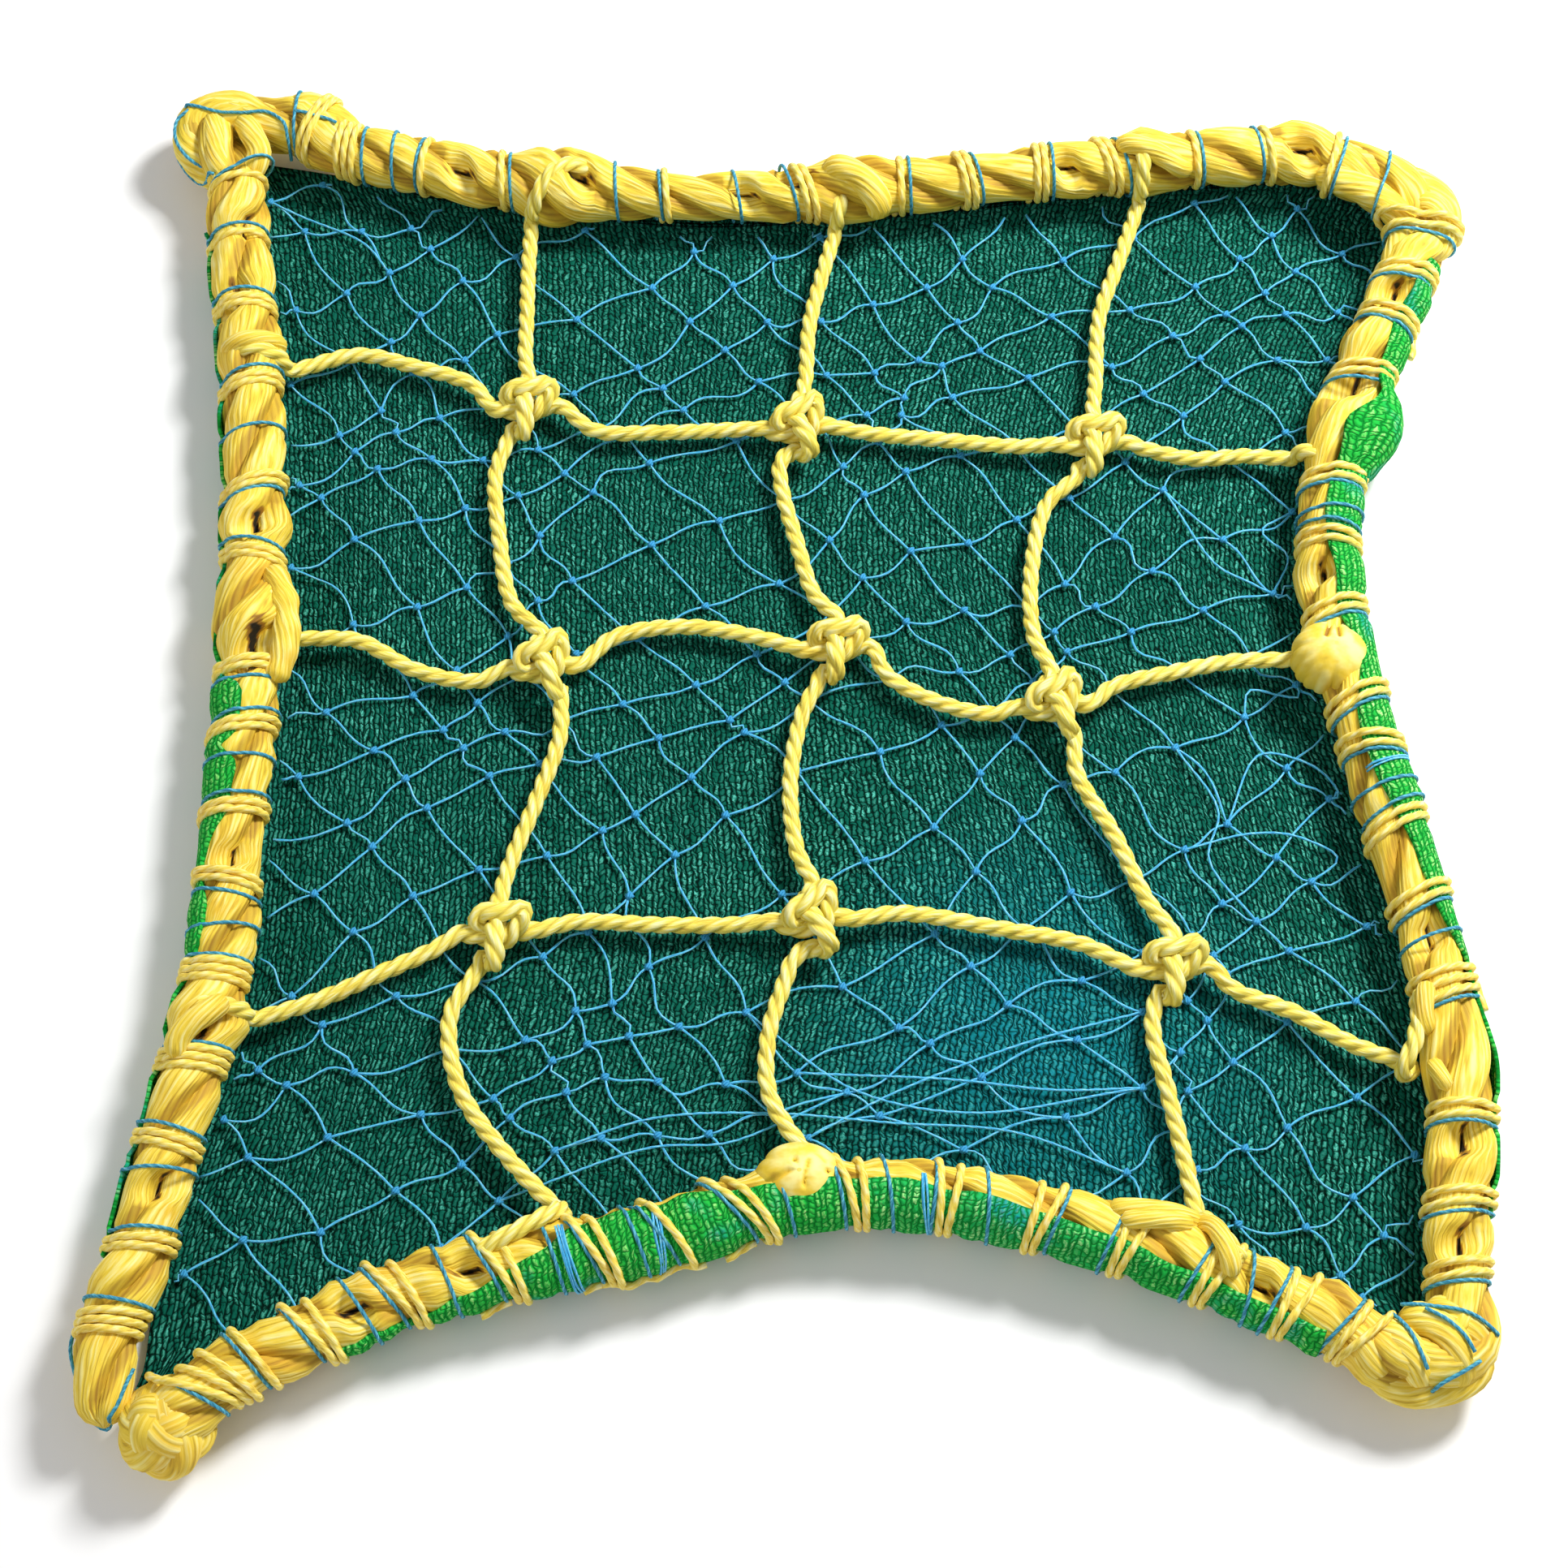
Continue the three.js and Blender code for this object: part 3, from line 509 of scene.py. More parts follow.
    def hem_radius(self, runs: Array) -> Array:
        """Radius of the middle of the hem's cloth, at distances along the loop."""
        rope = np.minimum(self.radius(runs), ROPE_RADIUS + self.HEM_LOOSE)
        return np.minimum(rope, self.tied(runs)) + CLOTH_THICK / 2 + self.HEM_GAP

    def cover(self, side: Side, share: Array | float) -> Array:
        """How far the hem reaches up round the rope.

        Args:
            side: side of the border.
            share: places along it, from 0 to 1.

        Returns:
            Degrees above the outer side, or no reach at all beyond the hem's ends.
        """
        sizes = SIDES[side]
        share = np.atleast_1d(np.asarray(share, float))
        places, reach = np.array(sizes.cover).T
        even = np.interp(share * self.sides[side].length, places, reach)
        return np.where((share >= sizes.hem_from) & (share <= sizes.hem_to), even, HEM_START)

    def skin(self, side: Side, along: float, angles: Array, shifts: Array | float = 0.0) -> Array:
        """Radius of what twine lies on, which is the hem where that reaches and the rope beyond it.

        Args:
            side: side of the border.
            along: place along it.
            angles: degrees up from the outer side.
            shifts: how far the twine lies ahead of the place at each angle.

        Returns:
            One radius for each angle.
        """
        runs = self.run_of(side, along) + np.zeros(len(angles)) + shifts
        bare = np.minimum(self.radius(runs), self.tied(runs))
        hem = self.hem_radius(runs) + CLOTH_THICK / 2
        reach = self.cover(side, along / self.sides[side].length)[0]
        up = np.mod(angles - HEM_START, 360)
        low, high = (reach - HEM_START + fade for fade in self.HEM_FADE)
        on_hem = 1 - smooth(low, high, up)
        return bare + (hem - bare) * on_hem


@dataclass(frozen=True)
class Fold:
    """A soft ridge of the cloth: middle, heading in degrees, half length, half width and height."""

    x: float
    y: float
    heading: float
    length: float
    width: float
    height: float

    def rise(self, plan: Array) -> Array:
        """Height of the ridge over places in the plan.

        Args:
            plan: places, with x and y in the last axis.

        Returns:
            One height for each place.
        """
        turn = np.radians(self.heading)
        x, y = plan[..., 0] - self.x, plan[..., 1] - self.y
        along = (x * np.cos(turn) + y * np.sin(turn)) / self.length
        across = (y * np.cos(turn) - x * np.sin(turn)) / self.width
        return self.height * np.exp(-(along**2) - across**2)


FOLDS = (
    Fold(66, -112, 14, 62, 34, 4.0),
    Fold(-70, -130, -12, 60, 32, 3.4),
    Fold(-140, 70, 82, 70, 30, 3.2),
    Fold(-40, 160, 6, 80, 30, 3.4),
    Fold(120, 60, 70, 60, 32, 4.0),
    Fold(130, 160, -20, 60, 30, 3.0),
    Fold(-150, -70, 100, 55, 30, 3.0),
)
FOLD_FLOOR = 0.6

# Narrow creases that run in from the corners and from the pulled edges
CREASES = (
    Fold(-160, -170, 48, 44, 6, 1.1),
    Fold(-168, -128, 66, 36, 5, 0.8),
    Fold(-150, 178, -42, 40, 6, 1.0),
    Fold(-112, 186, -24, 34, 5, 0.7),
    Fold(168, 160, 44, 38, 6, 1.0),
    Fold(140, -166, -48, 40, 6, 1.0),
    Fold(40, -128, 8, 40, 6, 1.1),
    Fold(-20, -138, -6, 34, 5, 0.9),
    Fold(96, -120, 22, 34, 6, 0.9),
    Fold(136, 40, 78, 40, 6, 0.9),
    Fold(-150, 30, 94, 44, 6, 0.8),
)


class Ground:
    """Heights of the cloth, of the netting on it and of the cords above both."""

    LIFTED = 6.0
    EVERY = 6

    def __init__(self, border: Border) -> None:
        """Keep the border's line, from which the cloth falls to the floor.

        Args:
            border: the border's line.
        """
        self.line = np.vstack([line.rows[::self.EVERY, :2] for line in border.sides.values()])
        self.rise = BORDER_Z + np.sin(np.radians(HEM_START)) * (HEM_MIDDLE + CLOTH_THICK / 2)
        self.run = EDGE_CELL * border.sides[Side.LEFT].length

    @staticmethod
    def folds(plan: Array) -> Array:
        """Height of the cloth's ridges above the floor, over places in the plan."""
        broad = sum(fold.rise(plan) for fold in FOLDS) - FOLD_FLOOR
        return np.maximum(broad, 0) + sum(crease.rise(plan) for crease in CREASES)

    def from_border(self, plan: Array) -> Array:
        """Distance of places in the plan from the border's line."""
        gaps = np.linalg.norm(plan.reshape(-1, 1, 2) - self.line, axis=-1)
        return gaps.min(axis=1).reshape(plan.shape[:-1])

    def top(self, plan: Array) -> Array:
        """Height of the cloth's upper face over places in the plan."""
        fallen = (self.from_border(plan) - self.LIFTED) / self.run
        return np.maximum(self.folds(plan), self.rise * np.clip(1 - fallen, 0, 1)) + CLOTH_THICK

    def inside(self, plan: Array) -> Array:
        """Whether places in the plan lie within the border's line.

        Args:
            plan: places, with x and y in the last axis.

        Returns:
            True or False for each place.
        """
        ax, ay = self.line.T
        bx, by = np.roll(self.line, -1, axis=0).T
        px, py = np.split(plan.reshape(-1, 2), 2, axis=1)
        spans = (ay > py) != (by > py)
        rise = np.where(by == ay, 1.0, by - ay)
        crossed = spans & (px < ax + (bx - ax) * (py - ay) / rise)
        return (crossed.sum(axis=1) % 2 == 1).reshape(plan.shape[:-1])


class PieceMesh:
    """Arrays of one piece's mesh, gathered tube by tube."""

    def __init__(self) -> None:
        """Start with no points."""
        self.points: list[Array] = []
        self.tones: list[Array] = []
        self.corners: list[Array] = []
        self.sizes: list[Array] = []
        self.uvs: list[Array] = []
        self.count = 0

    def add_faces(self, points: Array, faces: Array, uvs: Array, tones: Array) -> None:
        """Add faces that share points.

        Args:
            points: places.
            faces: one face in each row, as numbers of these points.
            uvs: place on the surface of each corner, as face, corner and coordinate.
            tones: one number from 0 to 1 for each point, which the finish reads.
        """
        self.points.append(points.reshape(-1, 3))
        self.tones.append(np.ravel(tones))
        self.corners.append((faces + self.count).ravel())
        self.sizes.append(np.full(len(faces), faces.shape[1]))
        self.uvs.append(uvs.reshape(-1, 2))
        self.count += len(self.points[-1])

    def add_tube(self, rings: Array, tones: Array, closed: bool = False, from_above: bool = False) -> None:
        """Add a tube through rings of points that run counter-clockwise about its heading.

        Args:
            rings: places as ring, point and coordinate.
            tones: one number from 0 to 1 for each point.
            closed: whether the last ring joins the first, and otherwise both ends are capped.
            from_above: whether the surface place of a point is its place in the plan.
        """
        rows, columns = rings.shape[:2]
        middles = rings.mean(axis=1)
        steps = np.linalg.norm(np.diff(middles, axis=0, append=middles[:1]), axis=1)
        runs = np.concatenate(([0.0], np.cumsum(steps))) * MM
        here = np.arange(rows if closed else rows - 1)[:, None]
        ahead = (here + 1) % rows
        k = np.arange(columns)
        following = (k + 1) % columns
        faces = np.stack((
            here * columns + k, here * columns + following,
            ahead * columns + following, ahead * columns + k,
        ), axis=-1)
        u = np.stack((runs[here], runs[here], runs[here + 1], runs[here + 1]), axis=-1)
        v = np.stack((k, k + 1, k + 1, k), axis=-1)[None] / columns
        uvs = np.stack(np.broadcast_arrays(u, v), axis=-1)
        if from_above:
            uvs = rings.reshape(-1, 3)[faces.reshape(-1, 4), :2] * (MM, 1 / PLAN_TURN)
        first = self.count
        self.add_faces(rings, faces.reshape(-1, 4), uvs, tones)
        if not closed:
            self._cap(first, columns, middles[0], tones[0].mean(), backwards=True)
            self._cap(first + (rows - 1) * columns, columns, middles[-1], tones[-1].mean(), backwards=False)

    def _cap(self, first: int, columns: int, middle: Array, tone: float, backwards: bool) -> None:
        """Close one end of a tube with a fan of triangles.

        Args:
            first: number of the ring's first point.
            columns: how many points the ring has.
            middle: place of the fan's hub.
            tone: the hub's number for the finish.
            backwards: whether the cap faces against the tube's heading.
        """
        k = np.arange(columns)
        near, far = first + k, first + (k + 1) % columns
        if backwards:
            near, far = far, near
        hub = np.full(columns, self.count)
        faces = np.stack((near, far, hub), axis=-1) - self.count
        uvs = np.zeros((columns, 3, 2))
        self.add_faces(middle[None], faces, uvs, np.array([tone]))

    @property
    def triangles(self) -> int:
        """How many triangles the faces come to."""
        return int(sum((sizes - 2).sum() for sizes in self.sizes))

    def make(self, name: str) -> Piece:
        """Make the piece's object, with its place in its mesh.

        Args:
            name: name of the piece.

        Returns:
            The new object, linked into the scene.
        """
        points = (np.vstack(self.points) + TABLE_TO_PART) * MM
        corners = np.concatenate(self.corners).astype(np.int32)
        sizes = np.concatenate(self.sizes)
        starts = np.concatenate(([0], np.cumsum(sizes)[:-1])).astype(np.int32)
        mesh = bpy.data.meshes.new(name)
        mesh.vertices.add(len(points))
        mesh.vertices.foreach_set("co", points.astype(np.float32).ravel())
        mesh.loops.add(len(corners))
        mesh.loops.foreach_set("vertex_index", corners)
        mesh.polygons.add(len(sizes))
        mesh.polygons.foreach_set("loop_start", starts)
        mesh.polygons.foreach_set("use_smooth", np.ones(len(sizes), bool))
        uv_map = mesh.uv_layers.new(name="UVMap")
        uv_map.data.foreach_set("uv", np.vstack(self.uvs).astype(np.float32).ravel())
        tone = mesh.attributes.new("tone", "FLOAT", "POINT")
        tone.data.foreach_set("value", np.concatenate(self.tones).astype(np.float32))
        mesh.update(calc_edges=True)
        mesh.validate()
        piece = bpy.data.objects.new(name, mesh)
        bpy.context.scene.collection.objects.link(piece)
        return piece


@dataclass(frozen=True)
class Twist:
    """Build of a twisted cord: radius, number of strands, length of one twist and points on each strand."""

    radius: float
    strands: int
    lay: float
    points: int
    offset: float = 0.42
    follows: bool = False
    # How much painted shade the grooves between strands get.
    shade: float = 1.0

    def profile(self, angles: Array) -> Array:
        """Radius of the cord's outline.

        Args:
            angles: directions from the middle in radians, measured from a strand.

        Returns:
            One radius for each direction, as a share of the cord's radius.
        """
        step = 2 * np.pi / self.strands
        away = np.mod(angles + step / 2, step) - step / 2
        strand = 1 - self.offset
        beyond = np.maximum(strand**2 - (self.offset * np.sin(away)) ** 2, 0)
        return self.offset * np.cos(away) + np.sqrt(beyond)


@dataclass(frozen=True)
class Bundle(Twist):
    """Build of a soft bundle of many uneven yarns; its offset is the depth of the grooves between them."""

    follows: bool = True
    shade: float = 0.6
    heights: tuple[float, ...] = (0.0, 0.6, -0.5, 0.3, -0.7, 0.8, -0.2, 0.5, -0.6, 0.1, 0.4)
    play: float = 0.02

    def profile(self, angles: Array) -> Array:
        """Radius of the bundle's outline.

        Args:
            angles: directions from the middle in radians, measured from a yarn.

        Returns:
            One radius for each direction, as a share of the bundle's radius.
        """
        place = np.mod(angles * self.strands / (2 * np.pi), self.strands)
        crest = np.abs(np.cos(np.pi * place))
        own = np.array(self.heights)[np.floor(place + 0.5).astype(int) % len(self.heights)]
        return 1 - self.offset * (1 - crest) + self.play * own


def carried_frames(path: Array, first: Array, closed: bool = False) -> tuple[Array, Array, Array]:
    """Frames that follow a path without turning about it.

    Args:
        path: places along the path.
        first: direction that the first normal is taken from.
        closed: whether the path ends where it starts.

    Returns:
        Headings, normals and sides, one of each for every place.
    """
    if closed:
        headings = unit(np.roll(path, -1, axis=0) - np.roll(path, 1, axis=0))
    else:
        headings = unit(np.gradient(path, axis=0))
    normals = np.empty_like(headings)
    normal = np.asarray(first, float)
    for k, heading in enumerate(headings):
        normal = normal - heading * float(normal @ heading)
        normal = normal / np.linalg.norm(normal)
        normals[k] = normal
    return headings, normals, np.cross(headings, normals)


def add_cord(
    mesh: PieceMesh, path: Array, twist: Twist, first: Array = UP, scale: Array | float = 1.0,
    flat: float = 1.0,
) -> None:
    """Add a twisted cord along a path.

    Args:
        mesh: the piece that gets the cord.
        path: places along it.
        twist: the cord's build.
        first: direction that the first normal is taken from.
        scale: share of the radius at each place.
        flat: share of its thickness that the cord keeps along its normals.
    """
    _, normals, sides = carried_frames(path, first)
    steps = np.linalg.norm(np.diff(path, axis=0), axis=1)
    runs = np.concatenate(([0.0], np.cumsum(steps)))
    count = twist.strands * twist.points
    columns = 2 * np.pi * np.arange(count)[None] / count
    turned = (2 * np.pi * runs / twist.lay)[:, None]
    directions = columns + turned if twist.follows else columns + np.zeros_like(turned)
    share = twist.profile(directions - turned)
    size = np.broadcast_to(np.asarray(scale, float), (len(path),))[:, None]
    radii = twist.radius * share * size
    rings = (
        path[:, None]
        + normals[:, None] * (flat * np.cos(directions) * radii)[..., None]
        + sides[:, None] * (np.sin(directions) * radii)[..., None]
    )
    least = twist.profile(np.array([np.pi / twist.strands]))[0]
    # Tones fall in the grooves between strands, where the finish paints shade.
    mesh.add_tube(rings, 1 - twist.shade * np.clip((1 - share) / (1 - least), 0, 1))


def rounded_ends(runs: Array, reach: float) -> Array:
    """Shares of a radius, at distances along a cord, that close both its ends within a round reach."""
    back = np.clip(1 - np.minimum(runs - runs[0], runs[-1] - runs) / reach, 0, 1)
    return np.maximum(np.sqrt(1 - back**2), END_LEAST)


def paint(code: str) -> Colour:
    """Turn a colour code into the numbers that shaders use.

    Args:
        code: six hexadecimal digits, such as f3dd55.

    Returns:
        Linear red, green, blue and a full alpha.
    """
    parts = [int(code[k:k + 2], 16) / 255 for k in (0, 2, 4)]
    linear = [part / 12.92 if part <= 0.04045 else ((part + 0.055) / 1.055) ** 2.4 for part in parts]
    return (linear[0], linear[1], linear[2], 1.0)


class Value:
    """A shader value that takes part in Python sums."""

    def __init__(self, shader: "Shader", socket: Socket) -> None:
        """Wrap an output socket of a material."""
        self.shader = shader
        self.socket = socket

    def _math(self, operation: str, first: Any, second: Any = 0.0) -> "Value":
        """Add a Math node to two values or numbers."""
        return self.shader.value("ShaderNodeMath", {"operation": operation}, {0: first, 1: second})

    def __add__(self, other: Any) -> "Value":
        """Sum with a value or a number."""
        return self._math("ADD", self, other)

    def __radd__(self, other: Any) -> "Value":
        """Sum of a number and this value."""
        return self._math("ADD", other, self)

    def __sub__(self, other: Any) -> "Value":
        """Difference to a value or a number."""
        return self._math("SUBTRACT", self, other)

    def __rsub__(self, other: Any) -> "Value":
        """Difference of a number to this value."""
        return self._math("SUBTRACT", other, self)

    def __mul__(self, other: Any) -> "Value":
        """Product with a value or a number."""
        return self._math("MULTIPLY", self, other)

    def __rmul__(self, other: Any) -> "Value":
        """Product of a number and this value."""
        return self._math("MULTIPLY", other, self)

    def __truediv__(self, other: Any) -> "Value":
        """Quotient by a value or a number."""
        return self._math("DIVIDE", self, other)

    def __pow__(self, other: Any) -> "Value":
        """Power of this value."""
        return self._math("POWER", self, other)

    def floor(self) -> "Value":
        """Whole part of the value."""
        return self._math("FLOOR", self)

    def fraction(self) -> "Value":
        """Part of the value past its whole part."""
        return self._math("FRACT", self)

    def sine(self) -> "Value":
        """Sine of the value in radians."""
        return self._math("SINE", self)

    def cosine(self) -> "Value":
        """Cosine of the value in radians."""
        return self._math("COSINE", self)

    def step(self, low: float, high: float) -> "Value":
        """Soft step of the value, from 0 at low to 1 at high."""
        sockets = {"Value": self, "From Min": low, "From Max": high}
        return self.shader.value("ShaderNodeMapRange", {"interpolation_type": "SMOOTHSTEP"}, sockets)


class Shader:
    """A material under construction."""

    def __init__(self, name: str) -> None:
        """Start a material with its Principled shader.

        Args:
            name: name of the material.
        """
        self.material = bpy.data.materials.new(name)
        self.material.use_nodes = True
        self.tree = self.material.node_tree
        self.surface = self.tree.nodes["Principled BSDF"]

    def plug(self, node: bpy.types.Node, inputs: Inputs) -> None:
        """Set or link a node's inputs.

        Args:
            node: the node.
            inputs: values, sockets or plain settings by the name or number of the input.
        """
        for key, content in inputs.items():
            target = node.inputs[key]
            if isinstance(content, Value):
                self.tree.links.new(content.socket, target)
            elif isinstance(content, Socket):
                self.tree.links.new(content, target)
            else:
                target.default_value = content

    def node(self, kind: str, settings: dict[str, Any], inputs: Inputs) -> bpy.types.Node:
        """Add a node.

        Args:
            kind: type of the node.
            settings: its settings, which are set first.
            inputs: values, sockets or plain settings of its inputs.

        Returns:
            The node.
        """
        made = self.tree.nodes.new(kind)
        for key, content in settings.items():
            setattr(made, key, content)
        self.plug(made, inputs)
        return made

    def value(self, kind: str, settings: dict[str, Any], inputs: Inputs, output: int | str = 0) -> Value:
        """Add a node and take one of its outputs as a value."""
        return Value(self, self.node(kind, settings, inputs).outputs[output])

    def attribute(self, name: str) -> Value:
        """A number that the mesh holds for each of its points."""
        return self.value("ShaderNodeAttribute", {"attribute_name": name}, {}, "Fac")

    def surface_place(self) -> tuple[Value, Value]:
        """Read the piece's own UV map.

        Returns:
            Its two numbers.
        """
        place = self.node("ShaderNodeUVMap", {"uv_map": "UVMap"}, {})
        parts = self.node("ShaderNodeSeparateXYZ", {}, {0: place.outputs[0]})
        return Value(self, parts.outputs[0]), Value(self, parts.outputs[1])

    def object_place(self) -> Socket:
        """Place in the object's own frame, in metres."""
        return self.node("ShaderNodeTexCoord", {}, {}).outputs["Object"]

    def vector(self, x: Any, y: Any, z: Any) -> Socket:
        """A vector of three values or numbers."""
        return self.node("ShaderNodeCombineXYZ", {}, {0: x, 1: y, 2: z}).outputs[0]

    def noise(self, place: Socket, scale: float, detail: float) -> Value:
        """Cloudy noise from about 0.2 to 0.8, of a scale and a number of finer layers."""
        return self.value("ShaderNodeTexNoise", {}, {"Vector": place, "Scale": scale, "Detail": detail})

    def scatter(self, place: Socket) -> Value:
        """A different number from 0 to 1 for each whole-numbered place."""
        return self.value("ShaderNodeTexWhiteNoise", {"noise_dimensions": "3D"}, {"Vector": place}, "Value")

    def distance(self, place: Socket, point: tuple[float, float, float]) -> Value:
        """Distance of a place from a fixed point, in metres."""
        return self.value("ShaderNodeVectorMath", {"operation": "DISTANCE"}, {0: place, 1: point}, "Value")

    def mix(self, share: Any, first: Any, second: Any) -> Socket:
        """Mix two colours, by the share of the second that shows."""
        node = self.node("ShaderNodeMix", {"data_type": "RGBA"}, {0: share, 6: first, 7: second})
        return node.outputs[2]

    def relief(self, height: Value, strength: float, depth: float) -> Socket:
        """Normal of a surface that is bumped by a height from 0 to 1, to a depth in metres."""
        sockets = {"Height": height, "Strength": strength, "Distance": depth}
        return self.node("ShaderNodeBump", {}, sockets).outputs[0]


@dataclass(frozen=True)
class KnitFinish:
    """Knitted shade cloth: ribs of slanted stitches with dark gaps between them and a painted bluish sheen,
    in metres.
    """

    name: str
    rib: float = 0.0022
    stitch: float = 0.0030
    depth: float = 0.0006
    strength: float = 0.9
    gloss: float = 0.05
    sway_scale: float = 240.0
    sway_across: float = 1.5
    sway_along: float = 2.2
    hem_tight: float = 0.6
    fine_scale: float = 1400.0
    patch_scale: float = 8.0
    stain_scale: float = 42.0
    stain_share: float = 0.6
    gap: Colour = paint("011a14")
    yarn: Colour = paint("065a49")
    fleck: Colour = paint("5cc4b0")
    hem_gap: Colour = paint("0e7c2a")
    hem_yarn: Colour = paint("22b440")
    hem_fleck: Colour = paint("c8ff9e")
    # Teal of the hem's stains, and of a painted bluish sheen: a pool of light painted on the cloth round a
    # place near its lower middle, partly standing for denser netting there.
    blue: Colour = paint("108ea8")
    sheen_place: Place = (0.07, -0.112, 0.004)
    sheen_reach: float = 0.1
    sheen_share: float = 0.6

    def material(self) -> bpy.types.Material:
        """Build the finish; the mesh's tone says how much of a place is hem.

        Returns:
            The material.
        """
        shader = Shader(self.name)
        x, y = shader.surface_place()
        hem = shader.attribute("tone")
        place = shader.vector(x, y, 0.0)
        sway = shader.noise(place, self.sway_scale, 2.0)
        across = x / self.rib + sway * self.sway_across
        rib = across.floor()
        inside = across.fraction() * 2 - 1
        own = shader.scatter(shader.vector(rib, 0.0, 3.0))
        slant = own * 7 + inside * (own - 0.3) * 0.9
        along = (y / self.stitch) * (1 + hem * self.hem_tight) + slant + sway * self.sway_along
        row = along.floor()
        phase = along.fraction() * 2 - 1
        chance = shader.scatter(shader.vector(rib, row, 0.0))
        swell = (1 - inside * inside) * (1 - phase * phase * 0.85)
        thin = (1 - inside * inside * 3).step(0.0, 0.8) * (1 - phase * phase).step(0.1, 0.7)
        fine = shader.noise(place, self.fine_scale, 3.0)
        light = thin * (chance ** 1.6) * fine.step(0.3, 0.6)
        where = shader.object_place()
        patch = shader.noise(where, self.patch_scale, 3.0).step(0.34, 0.68)
        stain = shader.noise(where, self.stain_scale, 2.0).step(0.56, 0.66) * hem * self.stain_share
        # Painted sheen: the cloth turns bluish towards a place near its lower middle, a pool of light
        # painted into the colour.
        sheen_patch = (1 - shader.distance(where, self.sheen_place).step(0.0, self.sheen_reach)) * self.sheen_share
        yarn = shader.mix(hem, self.yarn, self.hem_yarn)
        gap = shader.mix(hem, self.gap, self.hem_gap)
        fleck = shader.mix(hem, self.fleck, self.hem_fleck)
        colour = shader.mix((swell * (0.55 + fine)).step(0.12, 0.62), gap, yarn)
        colour = shader.mix(light * (0.55 + patch * 0.45), colour, fleck)
        # The teal is mixed in where the hem is stained and where the painted sheen falls.
        colour = shader.mix((stain + sheen_patch) * swell, colour, self.blue)
        shader.plug(shader.surface, {
            "Base Color": colour,
            "Roughness": 0.92 - swell * 0.25,
            "Specular IOR Level": self.gloss,
            "Normal": shader.relief(swell, self.strength, self.depth),
        })
        return shader.material


@dataclass(frozen=True)
class FibreFinish:
    """Twisted fibres: painted shade in the grooves, painted highlights on the crests and fine streaks that
    lean along the strand.
    """

    name: str
    # The groove colour is painted shade in the grooves, and also the colour of the dark streaks.
    groove: Colour
    body: Colour
    # The crest colour is a painted highlight on the parts that stand out.
    crest: Colour
    warm: Colour
    streaks: float
    stretch: float
    lean: float
    depth: float = 0.0004
    strength: float = 0.8
    roughness: float = 0.88
    patch_scale: float = 60.0
    warm_share: float = 0.55
    highlight_share: float = 0.85
    groove_share: float = 0.55
    # Near-black painted shadow for the gaps between the rope's strands.
    slit_shadow: Colour = paint("120c02")

    def material(self) -> bpy.types.Material:
        """Build the finish; the mesh's tone says how far a place stands out, and is below 0 in gaps.

        Returns:
            The material.
        """
        shader = Shader(self.name)
        run, turn = shader.surface_place()
        tone = shader.attribute("tone")
        angle = (turn + run * self.lean) * (2 * np.pi)
        ring = (angle.cosine() * self.streaks, angle.sine() * self.streaks)
        streak = shader.noise(shader.vector(*ring, run * self.stretch), 1.0, 3.0)
        patch = shader.noise(shader.object_place(), self.patch_scale, 3.0)
        # Painted shade: where the tone is low, in the grooves, the colour goes to the dark groove colour.
        colour = shader.mix(tone.step(0.0, 0.55), self.groove, self.body)
        colour = shader.mix(patch.step(0.48, 0.75) * self.warm_share, colour, self.warm)
        # Painted highlight: pale colour on the crests, where the tone is high, broken up by the streaks.
        pale = tone.step(0.35, 1.0) * streak.step(0.4, 0.68) * self.highlight_share
        colour = shader.mix(pale, colour, self.crest)
        colour = shader.mix((1 - streak.step(0.25, 0.45)) * self.groove_share, colour, self.groove)
        # Painted shadow: tone below 0, deep in a slit, turns the colour near black.
        colour = shader.mix(tone.step(-0.7, -0.1), self.slit_shadow, colour)
        shader.plug(shader.surface, {
            "Base Color": colour,
            "Roughness": self.roughness - streak * 0.3,
            "Normal": shader.relief(streak, self.strength, self.depth),
        })
        return shader.material


@dataclass(frozen=True)
class FloorFinish:
    """Plain pale floor."""

    name: str = "pale_floor"
    colour: Colour = (0.93, 0.93, 0.93, 1.0)

    def material(self) -> bpy.types.Material:
        """Build the finish.

        Returns:
            The material.
        """
        shader = Shader(self.name)
        shader.plug(shader.surface, {"Base Color": self.colour, "Roughness": 0.9})
        return shader.material


class Finishes:
    """The finishes of all pieces, each made once."""

    def __init__(self) -> None:
        """Make the materials."""
        rope = FibreFinish(
            "yellow_border_rope", paint("966814"), paint("eece38"), paint("faf09c"), paint("e4b024"),
            streaks=5.0, stretch=90.0, lean=0.0, depth=0.0006,
        )
        net = FibreFinish(
            "blue_netting", paint("1668a8"), paint("3cb2e2"), paint("b0eef8"), paint("3aa4d4"),
            streaks=1.2, stretch=500.0, lean=-200.0, depth=0.0001,
        )
        self.cloth = KnitFinish("green_shade_cloth").material()
        self.rope = rope.material()
        self.fold = replace(rope, name="yellow_rope_folds", streaks=4.0, stretch=110.0).material()
        self.cord = FibreFinish(
            "yellow_cord", paint("a8801e"), paint("f0de56"), paint("fbf8ba"), paint("eac83c"),
            streaks=3.0, stretch=130.0, lean=-42.0,
        ).material()
        self.twine = FibreFinish(
            "yellow_twine", paint("a8781a"), paint("f2d852"), paint("fdf3b2"), paint("e8bc38"),
            streaks=1.6, stretch=300.0, lean=-60.0, depth=0.0002,
        ).material()
        self.net = net.material()
        self.lashing = replace(
            net, name="blue_lashing", groove=paint("103f58"), body=paint("2a8cae"), crest=paint("7fd6e4"),
            warm=paint("1f7690"),
        ).material()


